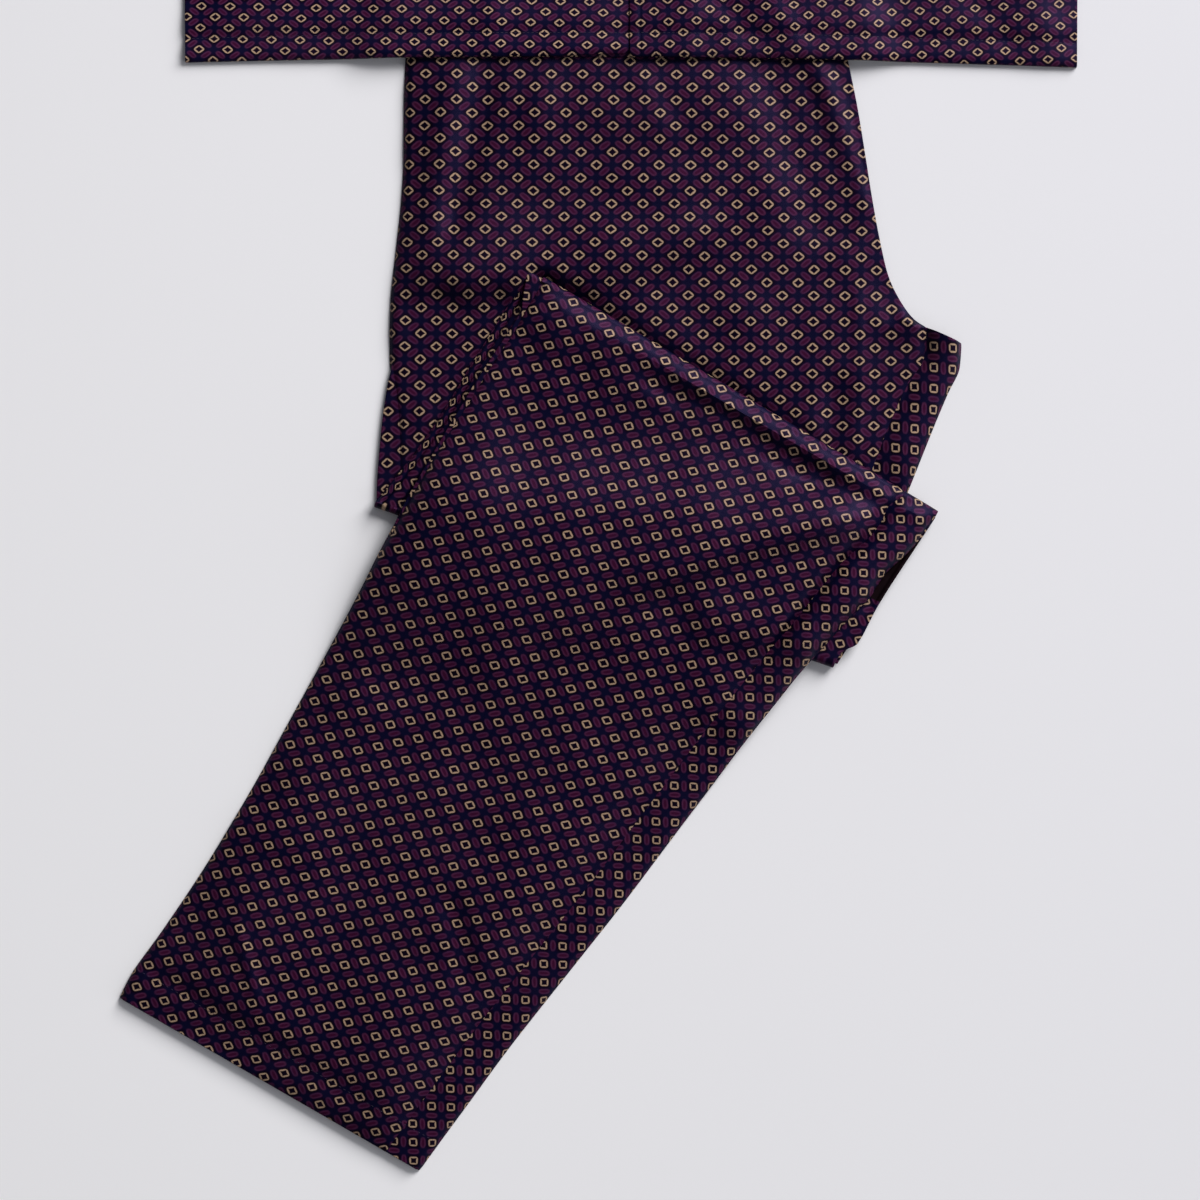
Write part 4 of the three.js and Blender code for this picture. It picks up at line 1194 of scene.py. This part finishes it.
def cloth_material(name, foulard, light, extra_painted_sheen=0.0, on_panel=True):
    """Printed cloth with a soft sheen, from the shader and also painted into its colour. light scales the
    print's colours, so that copies can be painted lighter or darker as if lit, and a further share of
    painted sheen can be added. on_panel reads the panel's own map of the print.
    """
    material, shader, n = new_material(name)
    if on_panel:
        place = n.add("ShaderNodeUVMap", uv_map="print").outputs[0]
    else:
        coords = n.add("ShaderNodeTexCoord").outputs["Object"]
        scaled = n.add("ShaderNodeMapping")
        n.wire(coords, scaled.inputs["Vector"])
        scaled.inputs["Scale"].default_value = (*(1 / (repeat * MM) for repeat in PRINT_REPEAT), 1)
        place = scaled.outputs[0]
    print_node = n.add("ShaderNodeGroup", node_tree=foulard)
    n.wire(place, print_node.inputs["Place"])
    lit = n.add("ShaderNodeVectorMath", operation="SCALE")
    n.wire(print_node.outputs["Color"], lit.inputs[0])
    lit.inputs["Scale"].default_value = light
    colour = lit.outputs[0]
    # Painted sheen in slow, uneven patches over the cloth, towards a pale violet, and threads that show as
    # fine lines
    tone = n.noise(place, 0.22, 3.0, 0.6)
    sheen_painted = n.blend(n.smooth(tone, 0.35, 0.75), colour, PAINTED_SHEEN_TONE)
    xyz = n.add("ShaderNodeSeparateXYZ")
    n.wire(place, xyz.inputs[0])
    weave = n.math(
        "MULTIPLY",
        *(
            n.math("SINE", n.math("MULTIPLY", xyz.outputs[way], 2 * math.pi * repeat / THREAD_PITCH))
            for way, repeat in enumerate(PRINT_REPEAT)
        ),
    )
    slub = n.noise(place, 9.0, 3.0, 0.65)
    surface = n.math("ADD", n.math("MULTIPLY", weave, WEAVE_SHARE), n.math("MULTIPLY", slub, SLUB_SHARE))
    bump = n.add("ShaderNodeBump")
    bump.inputs["Strength"].default_value = BUMP_STRENGTH
    bump.inputs["Distance"].default_value = BUMP_HEIGHT * MM
    n.wire(surface, bump.inputs["Height"])
    # The print's colour drawn towards the painted sheen
    n.wire(n.blend(PAINTED_SHEEN_SHARE + extra_painted_sheen, colour, sheen_painted), shader.inputs["Base Color"])
    n.wire(bump.outputs[0], shader.inputs["Normal"])
    n.wire(n.math("MULTIPLY_ADD", slub, 0.12, 0.38), shader.inputs["Roughness"])
    shader.inputs["Specular IOR Level"].default_value = 0.1
    shader.inputs["Specular Tint"].default_value = GLOSS
    shader.inputs["Sheen Weight"].default_value = 0.001
    shader.inputs["Sheen Roughness"].default_value = 0.45
    shader.inputs["Sheen Tint"].default_value = SHEEN
    return material


def mottled(shader, n, dark, pale, *grain):
    """Colours a shader between two tones, and gives how near each place is to the pale one."""
    tone = n.noise(n.add("ShaderNodeTexCoord").outputs["Object"], *grain)
    n.wire(n.blend(tone, dark, pale), shader.inputs["Base Color"])
    return tone


def painted_shade_material():
    """Painted shade: a dark, plain cloth without the print, standing in for the deep shadow where the layers
    part.
    """
    material, shader, n = new_material("cloth_painted_shade")
    mottled(shader, n, linear(8, 3, 6), linear(24, 13, 17), 240.0, 3.0)
    shader.inputs["Roughness"].default_value = 0.8
    shader.inputs["Specular IOR Level"].default_value = 0.03
    return material


def thread_material():
    material, shader, n = new_material("thread")
    mottled(shader, n, linear(18, 11, 36), linear(46, 32, 62), 700.0, 2.0)
    shader.inputs["Roughness"].default_value = 0.6
    return material


def button_material():
    material, shader, n = new_material("dark_button")
    cloud = mottled(shader, n, linear(20, 13, 20), linear(58, 42, 54), 160.0, 4.0, 0.6)
    n.wire(n.math("MULTIPLY_ADD", cloud, 0.15, 0.22), shader.inputs["Roughness"])
    shader.inputs["Coat Weight"].default_value = 0.3
    return material


# Stitches: how far apart they are along a row, and how long and thick each is
Stitch = namedtuple("Stitch", "spacing length thickness")
LEG_HEM_STITCH = Stitch(3.2, 1.6, 0.3)
SHIRT_STITCH = Stitch(2.6, 1.9, 0.3)
BUTTON_STITCH = Stitch(0.5, 0.95, 0.62)
BUTTONHOLE_STITCH = Stitch(0.55, 0.75, 0.5)


def stitch_tree(thread):
    """Small stitches along a curve: their spacing, length and thickness are inputs."""
    tree = bpy.data.node_groups.new("row_of_stitches", "GeometryNodeTree")
    tree.interface.new_socket("Line", in_out="INPUT", socket_type="NodeSocketGeometry")
    for label, value in SHIRT_STITCH._asdict().items():
        socket = tree.interface.new_socket(label, in_out="INPUT", socket_type="NodeSocketFloat")
        socket.default_value = value * MM
    tree.interface.new_socket("Stitches", in_out="OUTPUT", socket_type="NodeSocketGeometry")
    nodes, links = tree.nodes, tree.links
    source = nodes.new("NodeGroupInput")
    points = nodes.new("GeometryNodeCurveToPoints")
    points.mode = "LENGTH"
    links.new(source.outputs["Line"], points.inputs["Curve"])
    links.new(source.outputs["spacing"], points.inputs["Length"])
    ball = nodes.new("GeometryNodeMeshUVSphere")
    ball.inputs["Segments"].default_value = 6
    ball.inputs["Rings"].default_value = 4
    ball.inputs["Radius"].default_value = 0.5
    size = nodes.new("ShaderNodeCombineXYZ")
    links.new(source.outputs["thickness"], size.inputs["X"])
    links.new(source.outputs["thickness"], size.inputs["Y"])
    links.new(source.outputs["length"], size.inputs["Z"])
    place = nodes.new("GeometryNodeInstanceOnPoints")
    links.new(points.outputs["Points"], place.inputs["Points"])
    links.new(ball.outputs["Mesh"], place.inputs["Instance"])
    links.new(points.outputs["Rotation"], place.inputs["Rotation"])
    links.new(size.outputs[0], place.inputs["Scale"])
    real = nodes.new("GeometryNodeRealizeInstances")
    links.new(place.outputs["Instances"], real.inputs["Geometry"])
    finish = nodes.new("GeometryNodeSetMaterial")
    finish.inputs["Material"].default_value = thread
    links.new(real.outputs["Geometry"], finish.inputs["Geometry"])
    target = nodes.new("NodeGroupOutput")
    links.new(finish.outputs["Geometry"], target.inputs["Stitches"])
    return tree


def sew(name, lines, tree, stitch):
    """Rows of stitches along lines of layout points, as one plain mesh."""
    curve = bpy.data.curves.new(name + "_line", "CURVE")
    curve.dimensions = "3D"
    for line in lines:
        spline = curve.splines.new("POLY")
        spline.points.add(len(line) - 1)
        for point, at in zip(spline.points, np.array(line, float) * MM + layout_shift):
            point.co = (*at, 1)
    holder = bpy.data.objects.new(name + "_line", curve)
    bpy.context.scene.collection.objects.link(holder)
    modifier = holder.modifiers.new("stitches", "NODES")
    modifier.node_group = tree
    for item in tree.interface.items_tree:
        if item.in_out == "INPUT" and item.name in Stitch._fields:
            modifier[item.identifier] = getattr(stitch, item.name) * MM
    depsgraph = bpy.context.evaluated_depsgraph_get()
    mesh = bpy.data.meshes.new_from_object(holder.evaluated_get(depsgraph))
    mesh.name = name
    bpy.data.objects.remove(holder)
    made = bpy.data.objects.new(name, mesh)
    bpy.context.scene.collection.objects.link(made)
    return made


def leg_hem_lines():
    """The row of stitches across the foot of the leg, from one folded edge to the other."""
    along = LOWER_LEG_LENGTH - LEG_HEM_DEPTH
    x, y = np.array([lower_point(along, across) for across in np.linspace(-2, 201, 80)]).T
    hem = stacked(*leg_height("lower", x, y, STACK, np.full(len(x), along)))
    hem[:, 2] -= 0.05
    return [hem]


def front_height(x, y):
    """The face of the upper front, clear of its hem and edge."""
    return lap_foot(x, y) + upper_front(x, y) + shirt_lift(x, y) + CLOTH


def front_edge_line():
    """The row of stitches beside the upper front's edge, from the hem to the neck."""
    y = np.linspace(HEM_DEPTH + 4, FRONT_STITCH_TOP, 240)
    x = np.full(len(y), OVERLAP_EDGE + FRONT_STITCH_IN)
    return np.stack([x, y, front_height(x, y) - 0.3], -1)


def cuff_lines():
    """The row of stitches round the top of each cuff's hem."""
    top = SLEEVE_HEAD + (SLEEVE_LENGTH - CUFF_HEM) * SLEEVE_WAY
    points = [top + CUFF_WAY * d for d in np.linspace(4, CUFF_WIDTH - 4, 60)]
    return [[(side * x, y, SLEEVE_TOP - 0.28) for x, y in points] for side in (1, -1)]


def button_place(number):
    """The middle of a button's underside, in the layout."""
    low, high = (np.array(corner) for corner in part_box(f"shirt_button_{number}"))
    middle = (low + high) / 2
    return (np.array([middle[0], middle[1], low[2]]) - layout_shift) / MM


def make_button(number):
    """A round button with a raised rim and four holes."""
    middle = button_place(number)
    u, v = np.meshgrid(*[np.linspace(-1, 1, BUTTON_COLUMNS)] * 2)
    x, y = u * np.sqrt(1 - v**2 / 2), v * np.sqrt(1 - u**2 / 2)
    radius = np.hypot(x, y) * BUTTON_FACE
    top = BUTTON_DISH + BUTTON_RIM * ease((radius - RIM_START) / RIM_RISE)
    top = top - RIM_FALL * ease((radius - RIM_ROUND) / (BUTTON_FACE - RIM_ROUND))
    for side in (-1, 1):
        for end in (-1, 1):
            off = np.hypot(x * BUTTON_FACE - side * HOLE_OUT, y * BUTTON_FACE - end * HOLE_OUT)
            top = top - HOLE_DEPTH * ease((HOLE_RADIUS - off) / 0.3)
    face = stacked(x * BUTTON_FACE, y * BUTTON_FACE, top) + middle
    back = stacked(x * BUTTON_BACK, y * BUTTON_BACK, 0 * x) + middle
    return grid_mesh(f"shirt_button_{number}_round", face, back, stacked(x, y), BUTTON_EDGE)


def button_threads():
    """Two stitches over each button, through its holes."""
    lines = []
    for number in range(1, BUTTON_COUNT + 1):
        middle = button_place(number)
        t = np.linspace(0, 1, 9)
        for side in (-1, 1):
            rise = BUTTON_DISH - 0.3 + 0.5 * np.sin(math.pi * t)
            across = np.full(len(t), side * HOLE_OUT)
            lines.append(np.stack([across, (2 * t - 1) * HOLE_OUT, rise], -1) + middle)
    return lines


def buttonhole_lines():
    """The two stitched sides of each buttonhole, which show past the button."""
    lines = []
    for number in range(1, BUTTON_COUNT + 1):
        x0, y0, _ = button_place(number)
        x = np.linspace(x0 - BUTTONHOLE / 2, x0 + BUTTONHOLE / 2, 24)
        for side in (-BUTTONHOLE_HALF_WIDTH, BUTTONHOLE_HALF_WIDTH):
            y = np.full(len(x), y0 + side)
            lines.append(np.stack([x, y, front_height(x, y) + 0.05], -1))
    return lines


def shirt_hem_lines():
    """The row of stitches along the hem of each front."""
    lines = []
    for low, high, height in (
        (-SIDE + 2, OVERLAP_EDGE - 1, lambda x, y: FRONT_HEIGHT),
        (OVERLAP_EDGE + 2, SIDE - 2, upper_front),
    ):
        x = np.linspace(low, high, 90)
        y = hem_line(x) + STITCH_LINE
        turned = hem_form(np.full(len(x), STITCH_LINE))
        z = lap_foot(x, y) + height(x, y) + shirt_lift(x, y) + CLOTH + turned
        lines.append(np.stack([x, y, z], -1))
    return lines


# The stage
def soft_light(name, size, energy, colour, centre, place):
    """A square of light that stands at a place from the centre and faces it."""
    light = bpy.data.lights.new(name, "AREA")
    light.size = size
    light.energy = energy
    light.color = colour
    holder = bpy.data.objects.new(name, light)
    holder.location = centre + place
    holder.rotation_euler = place.to_track_quat("Z", "Y").to_euler()
    bpy.context.scene.collection.objects.link(holder)


def light_and_camera():
    scene = bpy.context.scene
    scene.view_settings.view_transform = "Standard"
    centre = Vector(np.array([*PHOTO_CENTRE, 0]) * MM + layout_shift)
    camera = bpy.data.objects.new("camera", bpy.data.cameras.new("camera"))
    camera.location = (centre.x, centre.y, CAMERA_HEIGHT * MM)
    camera.data.sensor_width = 36
    camera.data.lens = 36 * CAMERA_HEIGHT / PHOTO_SPAN
    scene.collection.objects.link(camera)
    scene.camera = camera

    bearing, height = math.radians(WINDOW_BEARING), math.radians(WINDOW_HEIGHT)
    across = math.cos(height)
    way = Vector((math.sin(bearing) * across, math.cos(bearing) * across, math.sin(height)))
    soft_light("window", WINDOW_SIZE, WINDOW_LIGHT, WINDOW_COLOUR, centre, way * WINDOW_DISTANCE)
    soft_light("side_panel", SIDE_SIZE, SIDE_LIGHT, SIDE_COLOUR, centre, SIDE_PLACE)

    world = bpy.data.worlds.new("soft_sky")
    world.use_nodes = True
    sky = world.node_tree.nodes["Background"]
    sky.inputs["Color"].default_value = SKY_COLOUR
    sky.inputs["Strength"].default_value = SKY_LIGHT
    scene.world = world


def make_floor():
    mesh = bpy.data.meshes.new("floor")
    corners = [(FLOOR_HALF * x, FLOOR_HALF * y, 0) for x, y in ((-1, -1), (1, -1), (1, 1), (-1, 1))]
    mesh.from_pydata(corners, [], [(0, 1, 2, 3)])
    floor = bpy.data.objects.new("floor", mesh)
    bpy.context.scene.collection.objects.link(floor)
    material, shader, n = new_material("pale_floor")
    coords = n.add("ShaderNodeTexCoord").outputs["Object"]
    towards = n.add("ShaderNodeVectorMath", operation="DOT_PRODUCT")
    n.wire(coords, towards.inputs[0])
    bearing = math.radians(FLOOR_BEARING)
    n.wire((math.sin(bearing), math.cos(bearing), 0), towards.inputs[1])
    near = n.add("ShaderNodeMapRange")
    for name, value in (
        ("Value", towards.outputs["Value"]),
        ("From Min", FLOOR_FAR),
        ("From Max", FLOOR_NEAR),
    ):
        n.wire(value, near.inputs[name])
    shade = n.math("MULTIPLY_ADD", n.noise(coords, 3.0, 2.0), 0.03, near.outputs["Result"])
    n.wire(n.blend(shade, FLOOR_PALE, FLOOR_DEEP), shader.inputs["Base Color"])
    shader.inputs["Roughness"].default_value = 0.9
    shader.inputs["Specular IOR Level"].default_value = 0.1
    mesh.materials.append(material)


def finish_piece(piece, material, slot, *nodes):
    """Gives a piece its material, its body and the solids that it stands for. The slot is not used."""
    piece.data.materials.clear()
    piece.data.materials.append(material)
    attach(piece, "root")
    if nodes:
        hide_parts(*nodes)


# Where the layers part, at the right corner of the second fold: painted shade on the hidden layers there,
# for the deep shadow in the gap
parted_layers = [(176, -288), (168, -300), (160, -313), (153, -327), (139, -322), (146, -306), (160, -292)]
PAINTED_SHADE_ABOVE = 2.0


def paint_shade_where_layers_part(piece, material):
    """Gives a piece a second material, of painted shade, where its layers part."""
    piece.data.materials.append(material)
    centres = np.array([polygon.center for polygon in piece.data.polygons])
    x, y, z = ((centres - layout_shift) / MM).T
    # Faces high enough and inside the gap take the painted shade
    in_painted_shade = (z > PAINTED_SHADE_ABOVE) & (distance_outside(parted_layers, x, y) == 0)
    piece.data.polygons.foreach_set("material_index", in_painted_shade.astype(np.int32))


light_and_camera()
make_floor()

foulard = foulard_group()
# The set is one cloth: the shirt's copies are painted lighter than the trousers', the right front's most of
# all, as if they caught more light
trouser_cloth = cloth_material("trouser_cloth", foulard, 0.74)
# The shirt's copies carry a further share of painted sheen
shirt_cloth = cloth_material("shirt_cloth", foulard, 0.79, extra_painted_sheen=0.04)
right_front_painted_lighter_cloth = cloth_material("right_front_painted_lighter_cloth", foulard, 0.93, extra_painted_sheen=0.04)
waistband_cloth = cloth_material("waistband_cloth", foulard, 0.74, on_panel=False)
thread = thread_material()
stitches = stitch_tree(thread)

runs = leg_runs()
leg_panel = make_leg_panel(runs)
strip = make_inseam_strip(runs)
hidden = make_hidden_layers(runs)
for node, piece in (
    ("trousers_leg_panel", leg_panel),
    ("trousers_inseam_strip", strip),
    ("trousers_hidden_layers", hidden),
):
    finish_piece(piece, trouser_cloth, "trousers_cloth", node)
# The hidden layers are painted nearly black in the gap at the right corner, for the shadow there
paint_shade_where_layers_part(hidden, painted_shade_material())

shirt_panels = make_shirt_panels()
for node, piece in shirt_panels.items():
    # The right front takes the copy of the cloth that is painted lightest
    cloth = right_front_painted_lighter_cloth if node == "shirt_right_front" else shirt_cloth
    finish_piece(piece, cloth, "shirt_cloth", node)
sleeves = {"shirt_left_sleeve": make_sleeve(1), "shirt_right_sleeve": make_sleeve(-1)}
for node, piece in sleeves.items():
    finish_piece(piece, shirt_cloth, "shirt_cloth", node)

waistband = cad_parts["trousers_waistband"]
waistband.data.materials.clear()
waistband.data.materials.append(waistband_cloth)
dark_button = button_material()
buttons = [make_button(number) for number in range(1, BUTTON_COUNT + 1)]
for number, button in enumerate(buttons, 1):
    finish_piece(button, dark_button, "button", f"shirt_button_{number}")

leg_hem = sew("trousers_hem_stitches", leg_hem_lines(), stitches, LEG_HEM_STITCH)
shirt_hem = sew("shirt_hem_stitches", shirt_hem_lines(), stitches, SHIRT_STITCH)
front_seam = sew("shirt_front_stitches", [front_edge_line()], stitches, SHIRT_STITCH)
cuff_seams = sew("shirt_cuff_stitches", cuff_lines(), stitches, SHIRT_STITCH)
button_thread = sew("shirt_button_threads", button_threads(), stitches, BUTTON_STITCH)
buttonholes = sew("shirt_buttonholes", buttonhole_lines(), stitches, BUTTONHOLE_STITCH)
for piece in (leg_hem, shirt_hem, front_seam, cuff_seams, button_thread, buttonholes):
    finish_piece(piece, thread, "trousers_cloth" if piece is leg_hem else "shirt_cloth")
